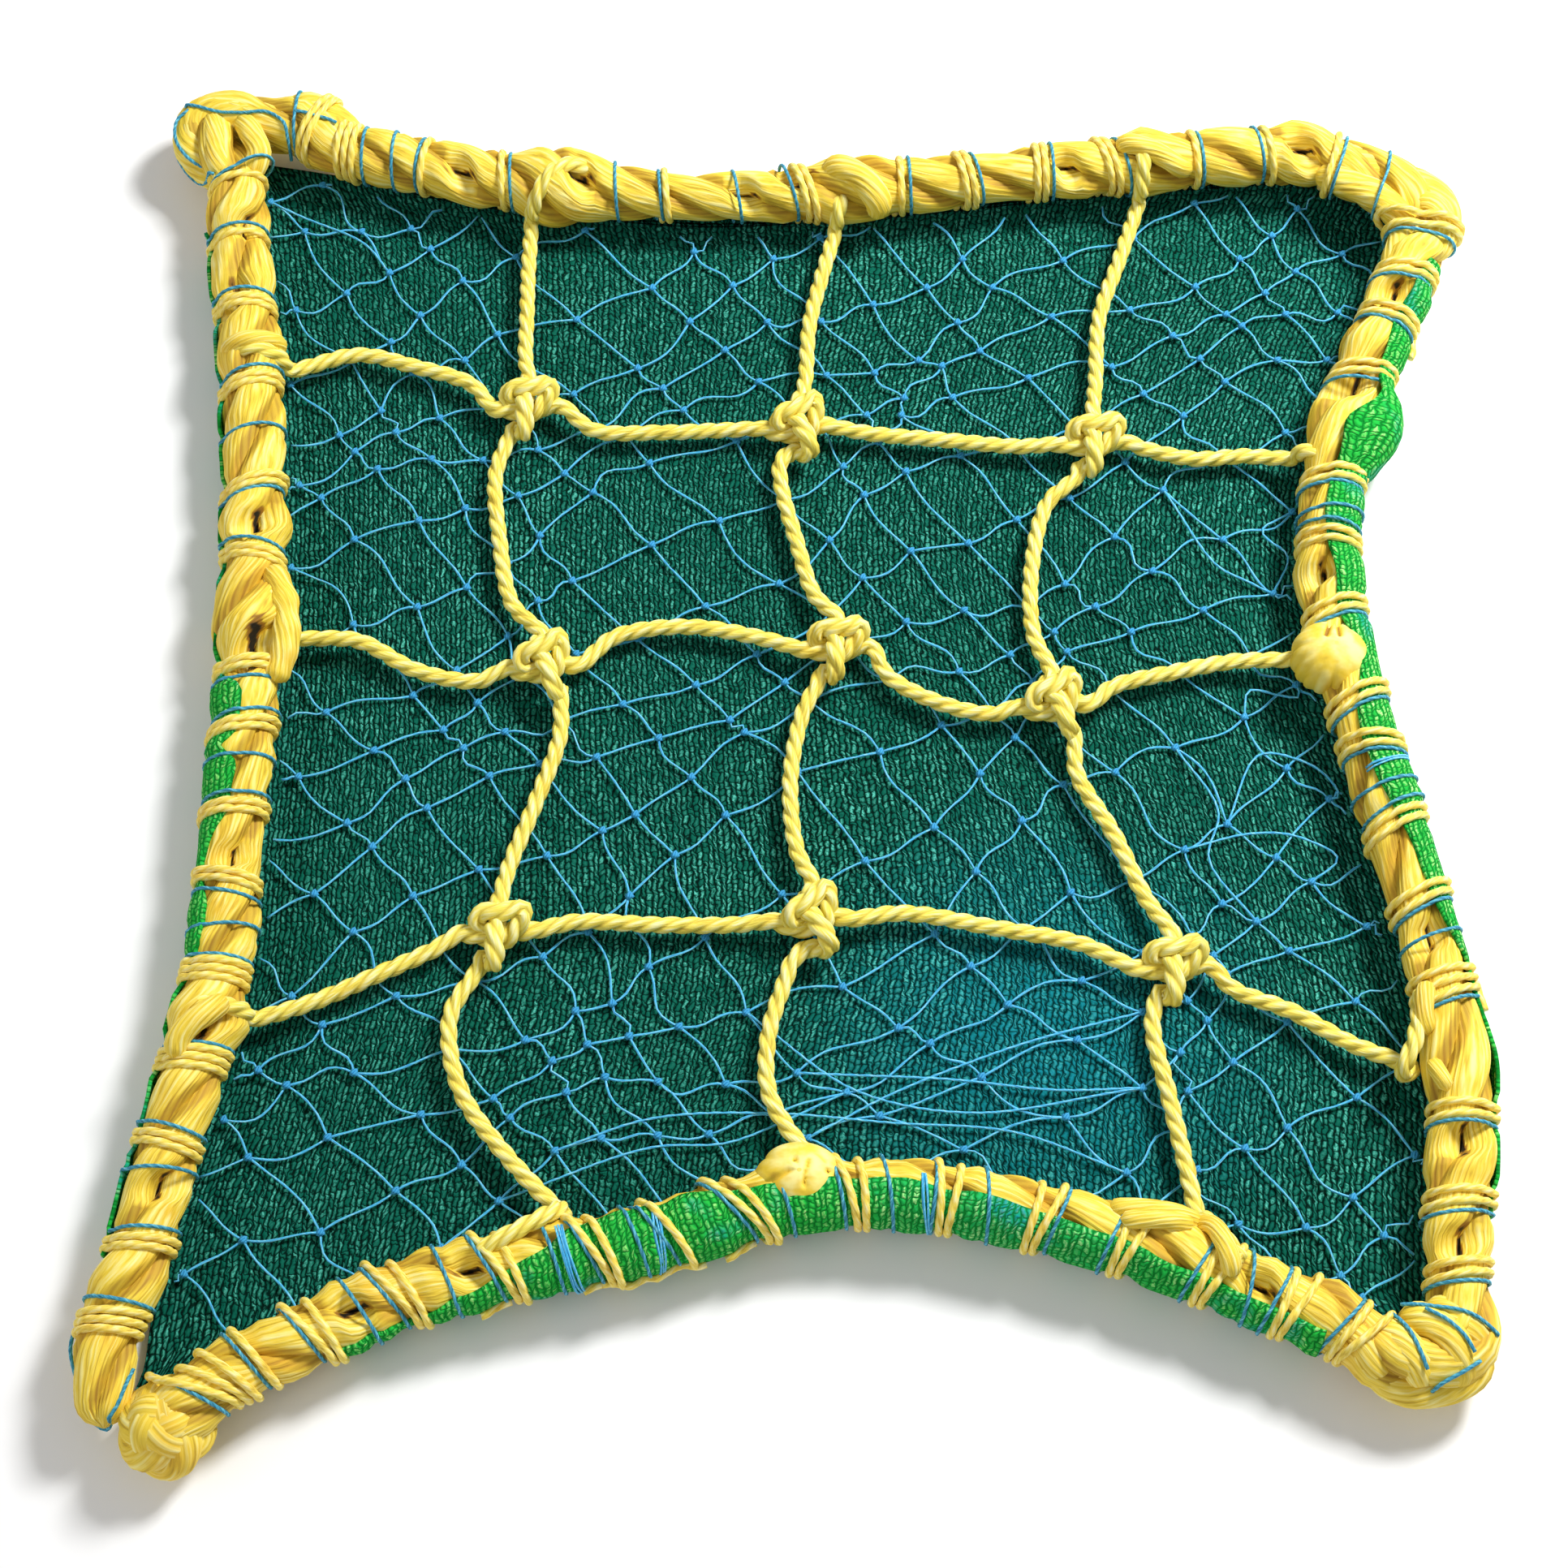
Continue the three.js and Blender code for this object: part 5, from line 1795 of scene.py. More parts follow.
@dataclass
class BorderRope:
    """Thick soft rope of three strands, each a bundle of yarns, round all four sides."""

    border: Border
    finishes: Finishes
    strands: int = 3
    lay: float = 92.0
    yarns: int = 18
    yarn_points: int = 3
    yarn_depth: float = 0.055
    yarn_play: float = 0.4
    yarn_lay: float = -88.0
    step: float = 2.3
    thick: float = 0.48
    wide: float = 0.63
    square: float = 2.3
    end_reach: float = 7.0
    slit_play: float = 2.4
    slit_rim: float = 0.5
    slit_fade: tuple[float, float] = (0.75, 1.2)
    slit_facing: float = 85.0
    give: float = 0.12
    lay_blend: float = 8.0
    uneven: float = 0.04
    uneven_waves: tuple[float, ...] = (53, 31)
    uneven_start: float = 0.7
    # Painted shade towards each strand's edges, where the strands meet.
    edge_shade: float = 0.7
    edge_fade: tuple[float, float] = (0.78, 1.02)

    def build(self) -> list[Piece]:
        """Build the strands.

        Returns:
            The pieces.
        """
        length = self.border.loop.length
        runs = np.linspace(0, length, int(length / self.step) + 1)
        lay = self._lay_angles(runs)
        pieces = []
        for number in range(self.strands):
            mesh = PieceMesh()
            rings, tones = self._strand(runs, lay + 360 * number / self.strands, number)
            mesh.add_tube(rings, tones)
            name = f"border_strand_{number + 1}"
            pieces.append(dress(mesh, name, self.finishes.rope, ["border_rope"]))
        return pieces

    def _lay_angles(self, runs: Array) -> Array:
        """How far the lay has turned, so that the gaps between strands face where the slits show.

        Args:
            runs: distances along the loop.

        Returns:
            One angle for each distance, in degrees.
        """
        step = 360 / self.strands
        places, turns = [0.0], [0.0]
        for run, slit in sorted(self.border.slits, key=lambda stop: stop[0]):
            even = turns[-1] + 360 * (run - places[-1]) / self.lay
            wanted = slit.angle - step / 2
            turns.append(wanted + step * round((even - wanted) / step))
            places.append(run)
        places.append(runs[-1])
        turns.append(turns[-1] + 360 * (runs[-1] - places[-2]) / self.lay)
        reach = int(self.lay_blend / self.step)
        weights = np.hanning(2 * reach + 3)[1:-1]
        return weights / weights.sum() @ neighbours(np.interp(runs, places, turns), reach)

    def _yarns(self, number: int) -> tuple[Array, Array, Array]:
        """Points round a strand, yarn by yarn, each yarn of its own width and height.

        Args:
            number: which strand it is.

        Returns:
            Directions in radians, how far each point stands out of the grooves, and its yarn's height.
        """
        chance = np.random.default_rng(SEED + number)
        widths = 1 + self.yarn_play * chance.uniform(-1, 1, self.yarns)
        widths = widths / widths.sum()
        starts = np.cumsum(widths) - widths
        within = np.arange(self.yarn_points) / self.yarn_points
        directions = 2 * np.pi * (starts[:, None] + widths[:, None] * within)
        crest = np.tile(np.sin(np.pi * within), self.yarns)
        return directions.ravel(), crest, np.repeat(chance.uniform(-1, 1, self.yarns), self.yarn_points)

    def _strand(self, runs: Array, lay: Array, number: int) -> tuple[Array, Array]:
        """Rings of one strand, whose points follow its yarns.

        Args:
            runs: distances along the loop.
            lay: direction of the strand from the rope's middle, in degrees.
            number: which strand it is.

        Returns:
            The rings and their tones.
        """
        sections = self.border.sections(self.border.loop, runs)
        wave = waves(runs, self.uneven_waves, self.uneven_start + number)
        radius = self.border.radius(runs) * (1 + self.uneven * wave)
        close = rounded_ends(runs, self.end_reach)
        directions, crest, height = self._yarns(number)
        turn = directions + (2 * np.pi * runs / self.yarn_lay + number)[:, None]
        power = 2 / self.square
        deep = np.sign(np.cos(turn)) * np.abs(np.cos(turn)) ** power
        side = np.sign(np.sin(turn)) * np.abs(np.sin(turn)) ** power
        swell = 1 + self.yarn_depth * (crest - 0.6 + 0.35 * height)
        outward = (self.thick * radius * close)[:, None] * deep * swell
        across = (self.wide * radius * close)[:, None] * side * swell
        opened = self._open_slits(runs, lay, across, self.wide * radius)
        edge = np.abs(opened) / (self.wide * radius)[:, None]
        out = (1 - self.thick) * (radius * close)[:, None] + outward
        held = self._held(runs, np.hypot(out, opened))[..., None]
        angle = np.radians(lay)
        away = sections.outward * np.cos(angle)[:, None] + UP * np.sin(angle)[:, None]
        round_way = UP * np.cos(angle)[:, None] - sections.outward * np.sin(angle)[:, None]
        offset = away[:, None] * out[..., None] + round_way[:, None] * opened[..., None]
        # Painted shade and highlight: tones drop towards the strand's edges and are higher on the yarns'
        # crests.
        shaded = 1 - self.edge_shade * smooth(*self.edge_fade, edge)
        tones = np.clip(0.4 + 0.6 * crest + 0.2 * height, 0, 1) * shaded
        # Points deep in a slit get a tone below 0, painted as near-black shadow.
        dark = self._slit_shadow(runs, lay[:, None] + np.degrees(np.arctan2(opened, out)))
        return sections.centre[:, None] + offset * held, tones * (1 - dark) - dark

    def _slit_shadow(self, runs: Array, angles: Array) -> Array:
        """How deep points lie within the slits, which sets their painted shadow.

        Args:
            runs: distances along the loop.
            angles: degrees of each point up from the outer side.

        Returns:
            One share for each point, 1 in the middle of a slit and 0 outside all of them.
        """
        dark = np.zeros_like(angles)
        for run, slit in self.border.slits:
            along = (runs - run) / slit.half_length
            beside = np.radians(np.mod(angles - slit.angle + 180, 360) - 180)
            across = beside * ROPE_RADIUS / (slit.width / 2 + self.slit_rim)
            dark = np.maximum(dark, 1 - smooth(*self.slit_fade, np.hypot(along[:, None], across)))
        return dark

    def _held(self, runs: Array, reach: Array) -> Array:
        """Share of its distance from the rope's middle that each point keeps where bindings draw it in."""
        limit = self.border.tied(runs)[:, None]
        return np.minimum(1, (limit + self.give * (reach - limit)) / np.maximum(reach, TINY))

    def _open_slits(self, runs: Array, lay: Array, across: Array, half: Array) -> Array:
        """Draw a strand back from the slits beside it.

        Args:
            runs: distances along the loop.
            lay: direction of the strand, in degrees.
            across: places of its points to either side.
            half: half the strand's width.

        Returns:
            The drawn-back places.
        """
        drawn = across.copy()
        for run, slit in self.border.slits:
            near = np.exp(-(((runs - run) / slit.half_length) ** 4))
            beside = np.mod(slit.angle - lay + 180, 360) - 180
            facing = np.where(np.abs(beside) < self.slit_facing, np.sign(beside), 0) * near
            toward = np.clip(across * np.sign(facing)[:, None] / half[:, None], 0, 1)
            drawn -= facing[:, None] * toward * (slit.width / 2 + self.slit_play)
        return drawn


@dataclass(frozen=True)
class StrandFold:
    """A fat strand that is folded back over the rope: name of its group, radius and route.

    The route has places in the frame of the net. With a side and a start, it has places along that side
    past the start, angles up from its outer side and distances from its middle.
    """

    group: str
    radius: float
    route: Route
    side: Side | None = None
    start: float = 0.0
    lumps: float = 0.03


@dataclass(frozen=True)
class LobedBall:
    """A soft ball of bunched yarns: middle, half sizes, lobes round its rim and creases on its top.

    The lobes show in one direction. A crease has its ends, width and depth, in shares of the ball.
    """

    group: str
    middle: tuple[float, float, float]
    half: tuple[float, float, float]
    lobes: int
    depth: float
    shown: float
    creases: tuple[tuple[float, float, float, float, float, float], ...]
    low: float = -70.0
    high: float = 87.0
    rings: int = 32
    columns: int = 72
    front: tuple[float, float] = (-0.2, 0.6)
    # Painted shade in the grooves between lobes and in the creases: how much, and how deep a crease must dip
    # for it.
    groove_shade: float = 0.8
    shade_dip: float = 0.2
    deepest_shade: float = 1.3

    def add_to(self, mesh: PieceMesh) -> None:
        """Add the ball to a piece.

        Args:
            mesh: the piece.
        """
        rise = np.radians(np.linspace(self.low, self.high, self.rings))[:, None]
        turn = 2 * np.pi * np.arange(self.columns)[None] / self.columns
        facing = smooth(*self.front, np.cos(turn - np.radians(self.shown)))
        uneven = turn + 0.12 * np.sin(3 * turn + 1)
        groove = (1 - np.abs(np.cos(self.lobes * uneven / 2)) ** 0.6) * facing * np.cos(rise) ** 3
        swell = 1 - self.depth * groove
        x = np.cos(rise) * np.cos(turn) * swell
        y = np.cos(rise) * np.sin(turn) * swell
        z = np.sin(rise) * swell
        dark = np.zeros_like(z)
        for from_x, from_y, to_x, to_y, wide, dip in self.creases:
            run_x, run_y = to_x - from_x, to_y - from_y
            share = ((x - from_x) * run_x + (y - from_y) * run_y) / (run_x**2 + run_y**2)
            share = np.clip(share, 0, 1)
            away = np.hypot(x - from_x - share * run_x, y - from_y - share * run_y)
            near = np.exp(-((away / wide) ** 2)) * (rise > 0)
            z = z - dip * near
            # Painted shade in the crease, deeper where it dips deeper.
            dark = np.maximum(dark, near * min(dip / self.shade_dip, self.deepest_shade))
        rings = np.array(self.middle) + np.stack((x, y, z), axis=-1) * np.array(self.half)
        # Painted shade: tones drop in the grooves between lobes and in the creases.
        mesh.add_tube(rings, 1 - self.groove_shade * groove - dark, from_above=True)


@dataclass(frozen=True)
class RoundKnot:
    """A ball of one strand, plaited into itself: middle, radius, dome, strand and number of bights."""

    group: str
    middle: tuple[float, float, float]
    radius: float
    dome: float
    strand: float
    bights: int
    stretch: float = 1.0
    turn: float = 0.0
    leads: int = 3
    weave: float = 1.5
    ring: float = 0.62
    swing: float = 0.38
    steps: int = 60

    def path(self) -> Array:
        """Plait the strand.

        Returns:
            Places along it.
        """
        t = np.linspace(0, 2 * np.pi * self.leads, self.steps * self.leads)
        swing = self.bights * t / self.leads
        reach = (self.radius - self.strand) * (self.ring + self.swing * np.cos(swing))
        share = reach / (self.radius - self.strand)
        angle = t + np.radians(self.turn)
        x = reach * np.cos(angle) * self.stretch
        y = reach * np.sin(angle)
        z = self.dome * (1 - share**2) + self.weave * np.sin(2 * swing)
        return np.array(self.middle) + np.column_stack((x, y, z))


@dataclass
class RopeFolds:
    """Folded strands at the corners and hitches, and the soft balls with which cords and rope end."""

    border: Border
    finishes: Finishes
    bundle: Bundle = Bundle(1.0, 13, -90.0, 4, 0.06)
    step: float = 1.9
    flat: float = 0.86
    folds: tuple[StrandFold, ...] = (
        StrandFold("top_left", 7.0, (
            (-211, 207, 13), (-218.5, 212, 15), (-224, 220, 16), (-223.5, 228, 18), (-218, 232, 19),
            (-208, 231, 19), (-198, 228, 18), (-192, 222, 15),
        )),
        StrandFold("top_left", 3.9, ((-217, 229, 22), (-215, 219, 23.5), (-213, 209, 23), (-209, 203, 20))),
        StrandFold("top_left", 4.3, ((-207, 229, 21), (-202, 220, 23), (-199, 212, 22), (-203, 205, 18))),
        StrandFold("top_left", 5.4, (
            (-194, 224, 17), (-191, 232, 18), (-184, 235, 19), (-177, 232, 19), (-170, 226, 18),
            (-166, 219, 15),
        )),
        StrandFold("top_right", 6.0, (
            (171, 220, 16), (185, 213, 18), (200, 205, 19), (212, 198, 20), (217, 190, 19), (215, 180, 18),
            (210, 172, 15),
        )),
        StrandFold("top_right", 5.4, (
            (174, 208, 17), (185, 201, 20), (196, 193, 21), (202, 183, 20), (200, 173, 18), (196, 166, 15),
        )),
        StrandFold("top_right", 4.2, ((206, 192, 22), (212, 189, 24), (215, 183, 22), (212, 177, 18))),
        StrandFold("bottom_right", 5.6, (
            (158, -209, 14), (161, -216, 14), (168, -220, 14), (179, -219, 14), (187, -215, 14),
            (189, -207, 15),
        )),
        StrandFold("bottom_right", 4.8, (
            (157, -203, 19), (164, -207, 22.5), (169, -214, 22.5), (171, -220, 17),
        )),
        StrandFold("bottom_right", 5.2, (
            (166, -199, 18), (175, -203, 22.5), (180, -209, 23.5), (182, -215, 20), (180, -219, 15),
        )),
        StrandFold("bottom_right", 4.8, (
            (174, -196, 18), (182, -201, 21.5), (187, -206, 20.5), (188, -212, 16),
        )),
        StrandFold("bottom_right", 4.6, (
            (149, -202, 19), (154, -207, 21.5), (157, -213, 19.5), (161, -217, 15),
        )),
        StrandFold("left_1", 2.8, (
            (7, 196, 8.5), (6, 160, 11.0), (5, 125, 11.6), (4.5, 90, 11.4), (4, 60, 10.6), (4, 30, 8.5),
        ), Side.LEFT, 356),
        StrandFold("left_2", 4.5, (
            (-20, 158, 9), (-12, 156, 12.4), (-3, 154, 13.8), (6, 150, 13.4), (14, 144, 11.6),
            (21, 136, 8.5),
        ), Side.LEFT, 254, 0.14),
        StrandFold("left_3", 3.8, (
            (1, 128, 10.5), (-4, 106, 12.4), (-9, 86, 12.4), (-14, 70, 11.6), (-20, 60, 9),
        ), Side.LEFT, 124),
        StrandFold("top_2", 4.8, (
            (-3, 60, 8.5), (3, 80, 10.6), (9, 104, 11.6), (13, 130, 12.2), (15, 155, 12), (13, 180, 10.5),
        ), Side.TOP, 217),
        StrandFold("top_3", 3.6, (
            (-7, 74, 8), (-3, 88, 11.4), (3, 102, 12.2), (9, 120, 11.8), (14, 138, 10.6), (18, 152, 8),
        ), Side.TOP, 325),
        StrandFold("right_3", 3.0, (
            (-8, 152, 10), (-13, 143, 11.8), (-19, 135, 11.6), (-25, 128, 9),
        ), Side.RIGHT, 340),
        StrandFold("right_3", 2.6, (
            (1, 152, 9.6), (4, 140, 11.4), (8, 131, 11.2), (12, 126, 9),
        ), Side.RIGHT, 340),
        StrandFold("bottom_3", 3.1, (
            (1, 166, 11), (-3, 145, 12.8), (-7, 121, 12.6), (-11, 97, 11.6), (-13, 75, 9),
        ), Side.BOTTOM, 82),
        StrandFold("bottom_3", 2.9, (
            (0, 162, 11), (6, 147, 12.6), (13, 138, 12.4), (20, 132, 11.4), (27, 128, 9),
        ), Side.BOTTOM, 82),
        StrandFold("bottom_3", 2.8, (
            (2, 140, 11), (8, 124, 12.4), (15, 113, 12), (23, 106, 9.5),
        ), Side.BOTTOM, 82),
    )
    balls: tuple[LobedBall, ...] = (
        LobedBall("right_2", (163.5, 16, 17.5), (13.2, 12.4, 11.2), 14, 0.12, 225, (
            (-0.05, 0.72, -0.2, 0.3, 0.07, 0.24), (0.14, 0.7, 0.12, 0.28, 0.07, 0.2),
        )),
        LobedBall("bottom_2", (-9.5, -158.5, 17.5), (13.8, 11.4, 11.4), 6, 0.09, 200, (
            (-0.1, 0.28, -0.06, 0.27, 0.05, 0.2), (0.6, 0.02, 0.62, 0.06, 0.05, 0.2),
            (0.2, 0.3, 0.1, -0.36, 0.05, 0.15), (-0.7, -0.3, -0.2, 0.0, 0.07, 0.12),
            (0.3, 0.62, 0.55, 0.3, 0.06, 0.1),
        )),
    )
    knots: tuple[RoundKnot, ...] = (RoundKnot("rope_end", (-193, -230.8, 12), 15.4, 8.4, 6.0, 5, 0.92),)
    fold_end: float = 1.2
    lump_waves: tuple[float, float] = (9, 14)

    def build(self) -> list[Piece]:
        """Build the folds and knots, each group as a piece.

        Returns:
            The pieces.
        """
        meshes: dict[str, PieceMesh] = {}
        for number, fold in enumerate(self.folds):
            line = self._line(fold)
            runs = np.linspace(0, line.length, int(line.length / self.step) + 1)
            lumps = 1 + fold.lumps * waves(runs, self.lump_waves, number)
            shares = rounded_ends(runs, fold.radius * self.fold_end) * lumps
            mesh = meshes.setdefault(f"rope_fold_{fold.group}", PieceMesh())
            bundle = replace(self.bundle, radius=fold.radius)
            add_cord(mesh, line.at(runs), bundle, UP, shares, self.flat if fold.side is None else 1.0)
        for ball in self.balls:
            ball.add_to(meshes.setdefault(f"soft_ball_{ball.group}", PieceMesh()))
        for knot in self.knots:
            mesh = meshes.setdefault(f"round_knot_{knot.group}", PieceMesh())
            add_cord(mesh, knot.path(), replace(self.bundle, radius=knot.strand))
        fold = self.finishes.fold
        return [dress(mesh, name, fold, ["border_rope"]) for name, mesh in meshes.items()]

    def _line(self, fold: StrandFold) -> Spline:
        """The curve that a fold follows, in the frame of the net."""
        on_side = fold.side is not None
        return Spline(self.border.round_side(fold.side, fold.start, fold.route) if on_side else fold.route)


@dataclass(frozen=True)
class Runner:
    """Twine that runs along the outer side of the border: side, start, end and angle."""

    side: Side
    start: float
    end: float
    angle: float


@dataclass(frozen=True)
class Stray:
    """Strands of the netting that lie over the hem: side, place along it, angles, slant and number."""

    side: Side
    along: float
    low: float
    high: float
    slant: float
    count: int = 3


class Surface:
    """Outer face of dressed pieces, on which thin twine is laid."""

    ABOVE = 100.0
    FAR = 19.0
    DRAWN = 2

    def __init__(self, pieces: Sequence[Piece]) -> None:
        """Gather the pieces' faces.

        Args:
            pieces: pieces whose place is in their meshes.
        """
        faces = bmesh.new()
        for piece in pieces:
            faces.from_mesh(piece.data)
        self.tree = BVHTree.FromBMesh(faces)
        faces.free()

    def height(self, x: float, y: float, otherwise: float) -> float:
        """Height of the face over a place in the plan, or another height where there is no face."""
        hit = self.tree.ray_cast(Vector((np.array((x, y, self.ABOVE)) + TABLE_TO_PART) * MM), Vector(-UP))[0]
        return otherwise if hit is None else hit.z / MM

    def reach(self, section: Sections, angles: Array, shifts: Array, least: Array) -> Array:
        """Distance of the face from the border's middle, round one section.

        Args:
            section: the section.
            angles: degrees up from the outer side.
            shifts: distances along the heading.
            least: distances that are kept where there is no face.

        Returns:
            One distance for each angle, drawn tight over gaps.
        """
        outside = section.points(angles, np.full(len(angles), self.FAR), shifts)[0]
        middle = section.points(angles, np.zeros(len(angles)), shifts)[0]
        found = least.copy()
        for k, (start, end) in enumerate(zip(outside, middle)):
            ray = Vector((start + TABLE_TO_PART) * MM), Vector(end - start), self.FAR * MM
            way = self.tree.ray_cast(*ray)[3]
            if way is not None and way > MM:
                found[k] = max(found[k], self.FAR - way / MM)
        tight = neighbours(found, self.DRAWN).max(axis=0)
        return neighbours(tight, self.DRAWN).mean(axis=0)


@dataclass
class Lashings:
    """Yellow and blue twine wound round rope and hem."""

    border: Border
    surface: Surface
    finishes: Finishes
    yellow: Twist = Twist(1.3, 2, -11.0, 6, 0.16, follows=True, shade=0.6)
    blue: Twist = Twist(0.66, 2, -5.0, 4, 0.26)
    thin: Twist = Twist(0.5, 2, 3.2, 3, 0.3)
    sunk: float = 0.5
    stray_gap: float = 0.95
    stray_play: float = 0.25
    stray_waves: tuple[float, float] = (150, 90)
    run_step: float = 1.2
    before_hem: float = 6.0
    first: Place = (0.3, 0.2, -1.0)
    strays: tuple[Stray, ...] = (
        Stray(Side.BOTTOM, 268, -40, 124, 3), Stray(Side.BOTTOM, 246, -30, 122, -2),
        Stray(Side.BOTTOM, 160, -20, 112, 3, 2), Stray(Side.RIGHT, 240, 10, 130, 3, 2),
    )
    runners: tuple[Runner, ...] = (
        Runner(Side.BOTTOM, 232, 262, -6), Runner(Side.BOTTOM, 262, 268, -10),
        Runner(Side.BOTTOM, 217, 226, -8), Runner(Side.BOTTOM, 290, 300, -6),
        Runner(Side.RIGHT, 66, 76, 4), Runner(Side.RIGHT, 316, 325, 10),
    )
    corner_twine: tuple[Route, ...] = (
        (
            (-214, 203, 0), (-221, 206, 13), (-227, 212, 13), (-231, 221, 14), (-229, 231, 16),
            (-223, 231, 0), (-216, 229, 0), (-205, 228, 0), (-197, 228, 0), (-191, 224, 0),
            (-189.5, 219, 0), (-189.5, 216.5, 12),
        ),
        (
            (-216.5, 207, 19), (-222, 210, 20), (-226, 213.5, 21), (-229.3, 219.5, 21.7), (-229, 226, 23),
            (-225, 230, 24),
        ),
        ((-187, 228, 0), (-182, 227, 0), (-176, 225, 0), (-172, 223, 0)),
        ((163, -200, 0), (167, -206, 0), (169, -211, 0), (171, -217, 0)),
        ((172, -199, 0), (178, -203, 0), (182, -207, 0), (185, -212, 0)),
        ((166, -197, 0), (174, -198, 0), (184, -200, 0), (191, -204, 0), (195, -208, 9)),
        ((172, -223, 12), (176, -220, 0), (182, -217, 0), (187, -214, 0)),
        (
            (-222, -203, 0), (-223, -208, 14), (-222, -214, 11), (-219.5, -221, 9), (-216.5, -227.5, 9),
            (-211.5, -230.8, 9), (-206.5, -227, 0), (-204.5, -221, 0), (-203, -215, 0),
        ),
    )
    angle_step: float = 6.0
    blue_step: float = 8.0

    def build(self) -> None:
        """Build all turns of twine."""
        for side in Side:
            for number, lash in enumerate(LASHES[side], 1):
                name = f"{side.value}_{number}"
                self._yellow(f"yellow_lashing_{name}", side, lash, [f"lash_{name}"])
            for number, lash in enumerate(CORNER_LASHES[side], 1):
                self._yellow(f"yellow_corner_lashing_{side.value}_{number}", side, lash, [])
            self._blue(side)
        self._runners()
        self._corner_twine()
        self._strays()

    def _strays(self) -> None:
        """Make the strands of the netting that lie over the hem."""
        mesh = PieceMesh()
        for stray in self.strays:
            section = self.border.section_at(stray.side, stray.along)
            angles = np.arange(stray.low, stray.high, self.blue_step)
            for number in range(stray.count):
                wave = self.stray_play * waves(angles, self.stray_waves, 1.7 * number + stray.along)
                slant = stray.slant * (angles - stray.low) / 100
                shifts = self.stray_gap * (number - stray.count / 2) + slant + wave
                skin = self.border.skin(stray.side, stray.along, angles, shifts)
                radii = skin + self.thin.radius * self.sunk
                add_cord(mesh, section.points(angles, radii, shifts)[0], self.thin)
        dress(mesh, "blue_net_over_hem", self.finishes.net)

    def _runners(self) -> None:
        """Make the yellow twine that runs on from lashing to lashing."""
        mesh = PieceMesh()
        for runner in self.runners:
            steps = int((runner.end - runner.start) / self.run_step) + 2
            angles = np.array([runner.angle])
            alongs = np.linspace(runner.start, runner.end, steps)
            path = np.vstack([self._on_skin(runner.side, along, angles) for along in alongs])
            add_cord(mesh, path, self.yellow)
        dress(mesh, "yellow_running_twine", self.finishes.twine)

    def _on_skin(self, side: Side, along: float, angles: Array) -> Array:
        """Places of yellow twine that lies on rope or hem."""
        radii = self.border.skin(side, along, angles) + self.yellow.radius * self.sunk
        return self.border.section_at(side, along).points(angles, radii)[0]

    def _corner_twine(self) -> None:
        """Make the blue twine that binds the corners."""
        mesh = PieceMesh()
        for route in self.corner_twine:
            add_cord(mesh, self._laid(route), self.blue)
        dress(mesh, "blue_corner_twine", self.finishes.lashing)

    def _laid(self, route: Route) -> Array:
        """Lay twine on the surface, drawn tight over its gaps.

        Args:
            route: places, on the surface where the height is none.

        Returns:
            Places along the twine.
        """
        given = np.array(route, float)
        laid = given[:, 2] == 0
        level = np.where(laid, [self.surface.height(x, y, BORDER_Z) for x, y, _ in given], given[:, 2])
        line = Spline(np.column_stack((given[:, :2], level, laid)))
        path = line.at(np.linspace(0, line.length, int(line.length / self.run_step) + 1))
        above = self.blue.radius * self.sunk
        on_surface = path[:, 3] > 0.5
        found = [self.surface.height(x, y, z) + above for x, y, z, _ in path]
        heights = np.where(on_surface, found, path[:, 2])
        tight = np.where(on_surface, neighbours(heights, 2).max(axis=0), heights)
        path[:, 2] = neighbours(tight, 1).mean(axis=0)
        return path[:, :3]

    def _turns(self, side: Side, lash: Lash, twist: Twist, step: float, at_corner: bool) -> Array:
        """Path of twine round the border.

        Args:
            side: side of the border.
            lash: its place along the side, its turns and its slant, by which its inner side lies ahead.
            twist: build of the twine.
            step: degrees from place to place.
            at_corner: whether it goes round folded strands too.

        Returns:
            Places along the twine.
        """
        along, turns, slant = lash.along, lash.turns, lash.slant
        start = HEM_START - self.before_hem
        angles = np.arange(start, start + 360 * turns + step / 2, step)
        section = self.border.section_at(side, along)
        inner = (1 - np.cos(np.radians(angles))) / 2
        sizes = SIDES[side]
        spread = sizes.converge + (1 - sizes.converge) * inner
        shifts = sizes.pitch * ((angles - start) / 360 - turns / 2) * spread + slant * (2 * inner - 1)
        radii = self.border.skin(side, along, angles, shifts)
        if at_corner:
            radii = self.surface.reach(section, angles, shifts, radii)
        return section.points(angles, radii + twist.radius * self.sunk, shifts)[0]

    def _yellow(self, name: str, side: Side, lash: Lash, nodes: list[str]) -> None:
        """Make one yellow lashing.

        Args:
            name: name of the piece.
            side: side of the border.
            lash: its place and turns.
            nodes: the solid that it replaces, or none at a corner.
        """
        mesh = PieceMesh()
        path = self._turns(side, lash, self.yellow, self.angle_step, not nodes)
        add_cord(mesh, path, self.yellow, np.array(self.first))
        dress(mesh, name, self.finishes.twine, nodes)

    def _blue(self, side: Side) -> None:
        """Make the blue turns of one side.

        Args:
            side: side of the border.
        """
        mesh = PieceMesh()
        beside = [Lash(lash.along + lash.blue, 1, lash.slant) for lash in LASHES[side]]
        alone = [Lash(along, 1, 1) for along in BLUE_TURNS[side]]
        corner = [Lash(lash.along + lash.blue, 1, lash.slant) for lash in CORNER_LASHES[side]]
        corner += CORNER_BLUE.get(side, ())
        for lash in beside + alone + corner:
            path = self._turns(side, lash, self.blue, self.blue_step, lash in corner)
            add_cord(mesh, path, self.blue, np.array(self.first))
        dress(mesh, f"blue_lashing_{side.value}", self.finishes.lashing)


@dataclass(frozen=True)
class Lamp:
    """A square light that faces the net: name, place and length of its sides in metres, and watts."""

    name: str
    place: Place
    size: float
    power: float


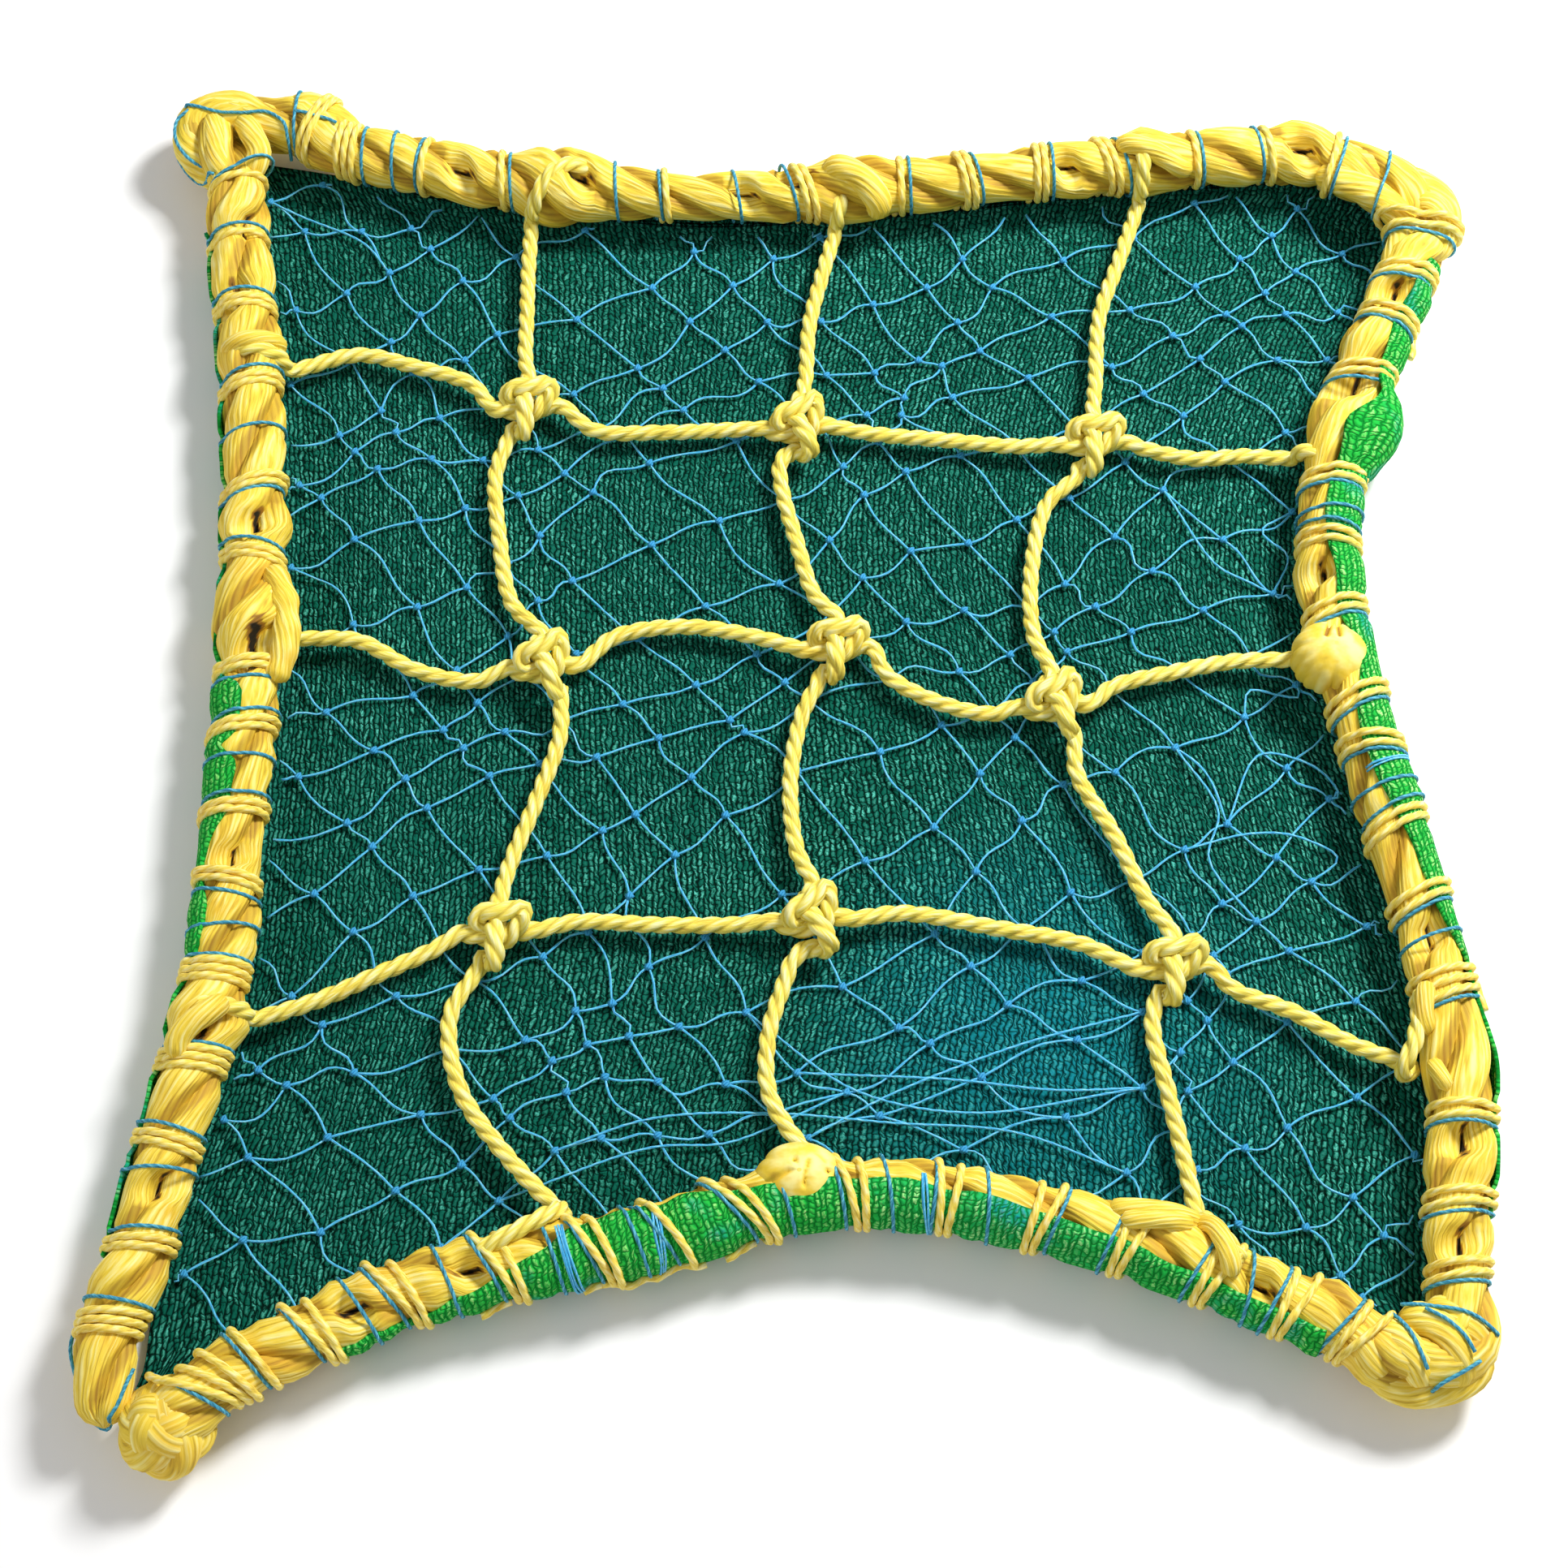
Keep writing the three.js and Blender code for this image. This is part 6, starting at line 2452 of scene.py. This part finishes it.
@dataclass
class Studio:
    """Pale floor, soft light from the upper right and the camera at the photograph's angle."""

    target: Place = (-10.2, -20.1, 0.0)
    stand: Place = (0.0, -363.0, 815.3)
    lens: float = 63.0
    sensor: float = 36.0
    floor_size: float = 6.0
    surround: float = 0.37
    lamps: tuple[Lamp, ...] = (
        Lamp("key_light", (0.6, 0.52, 0.92), 0.3, 19.5), Lamp("fill_light", (-0.9, -0.5, 0.9), 1.0, 3.4),
    )

    def build(self) -> None:
        """Build floor, lights and camera."""
        self._floor()
        for lamp in self.lamps:
            self._light(lamp)
        world = bpy.data.worlds.new("pale_surround")
        world.use_nodes = True
        world.node_tree.nodes["Background"].inputs["Color"].default_value = (1.0, 1.0, 1.0, 1.0)
        world.node_tree.nodes["Background"].inputs["Strength"].default_value = self.surround
        bpy.context.scene.world = world
        bpy.context.scene.view_settings.view_transform = "Standard"
        self._camera()

    def _floor(self) -> None:
        """Lay the floor under the net."""
        mesh = bpy.data.meshes.new("floor")
        half = self.floor_size / 2
        corners = [(-half, -half, 0), (half, -half, 0), (half, half, 0), (-half, half, 0)]
        mesh.from_pydata(corners, [], [(0, 1, 2, 3)])
        floor = bpy.data.objects.new("floor", mesh)
        mesh.materials.append(FloorFinish().material())
        bpy.context.scene.collection.objects.link(floor)

    @staticmethod
    def _light(lamp: Lamp) -> None:
        """Hang a light.

        Args:
            lamp: its name, place, size and power.
        """
        area = bpy.data.lights.new(lamp.name, "AREA")
        area.size = lamp.size
        area.energy = lamp.power
        light = bpy.data.objects.new(lamp.name, area)
        light.location = lamp.place
        light.rotation_euler = (-Vector(lamp.place)).to_track_quat("-Z", "Y").to_euler()
        bpy.context.scene.collection.objects.link(light)

    def _camera(self) -> None:
        """Set up the camera."""
        lens = bpy.data.cameras.new("camera")
        lens.lens = self.lens
        lens.sensor_width = self.sensor
        camera = bpy.data.objects.new("camera", lens)
        camera.location = (Vector(self.target) + Vector(self.stand)) * MM
        camera.rotation_euler = (-Vector(self.stand)).to_track_quat("-Z", "Y").to_euler()
        bpy.context.scene.collection.objects.link(camera)
        bpy.context.scene.camera = camera


def main() -> None:
    """Build the net's pieces in order, then the studio round them."""
    logging.basicConfig(level=logging.INFO, format="%(message)s")
    finishes = Finishes()
    border = Border()
    ground = Ground(border)
    Studio().build()
    CordNet(border, ground, finishes).build()
    ShadeCloth(border, ground, finishes).build()
    MiddleNet(ground, finishes).build()
    rope = BorderRope(border, finishes).build()
    folds = RopeFolds(border, finishes).build()
    Lashings(border, Surface(rope + folds), finishes).build()


if __name__ == "__main__":
    main()
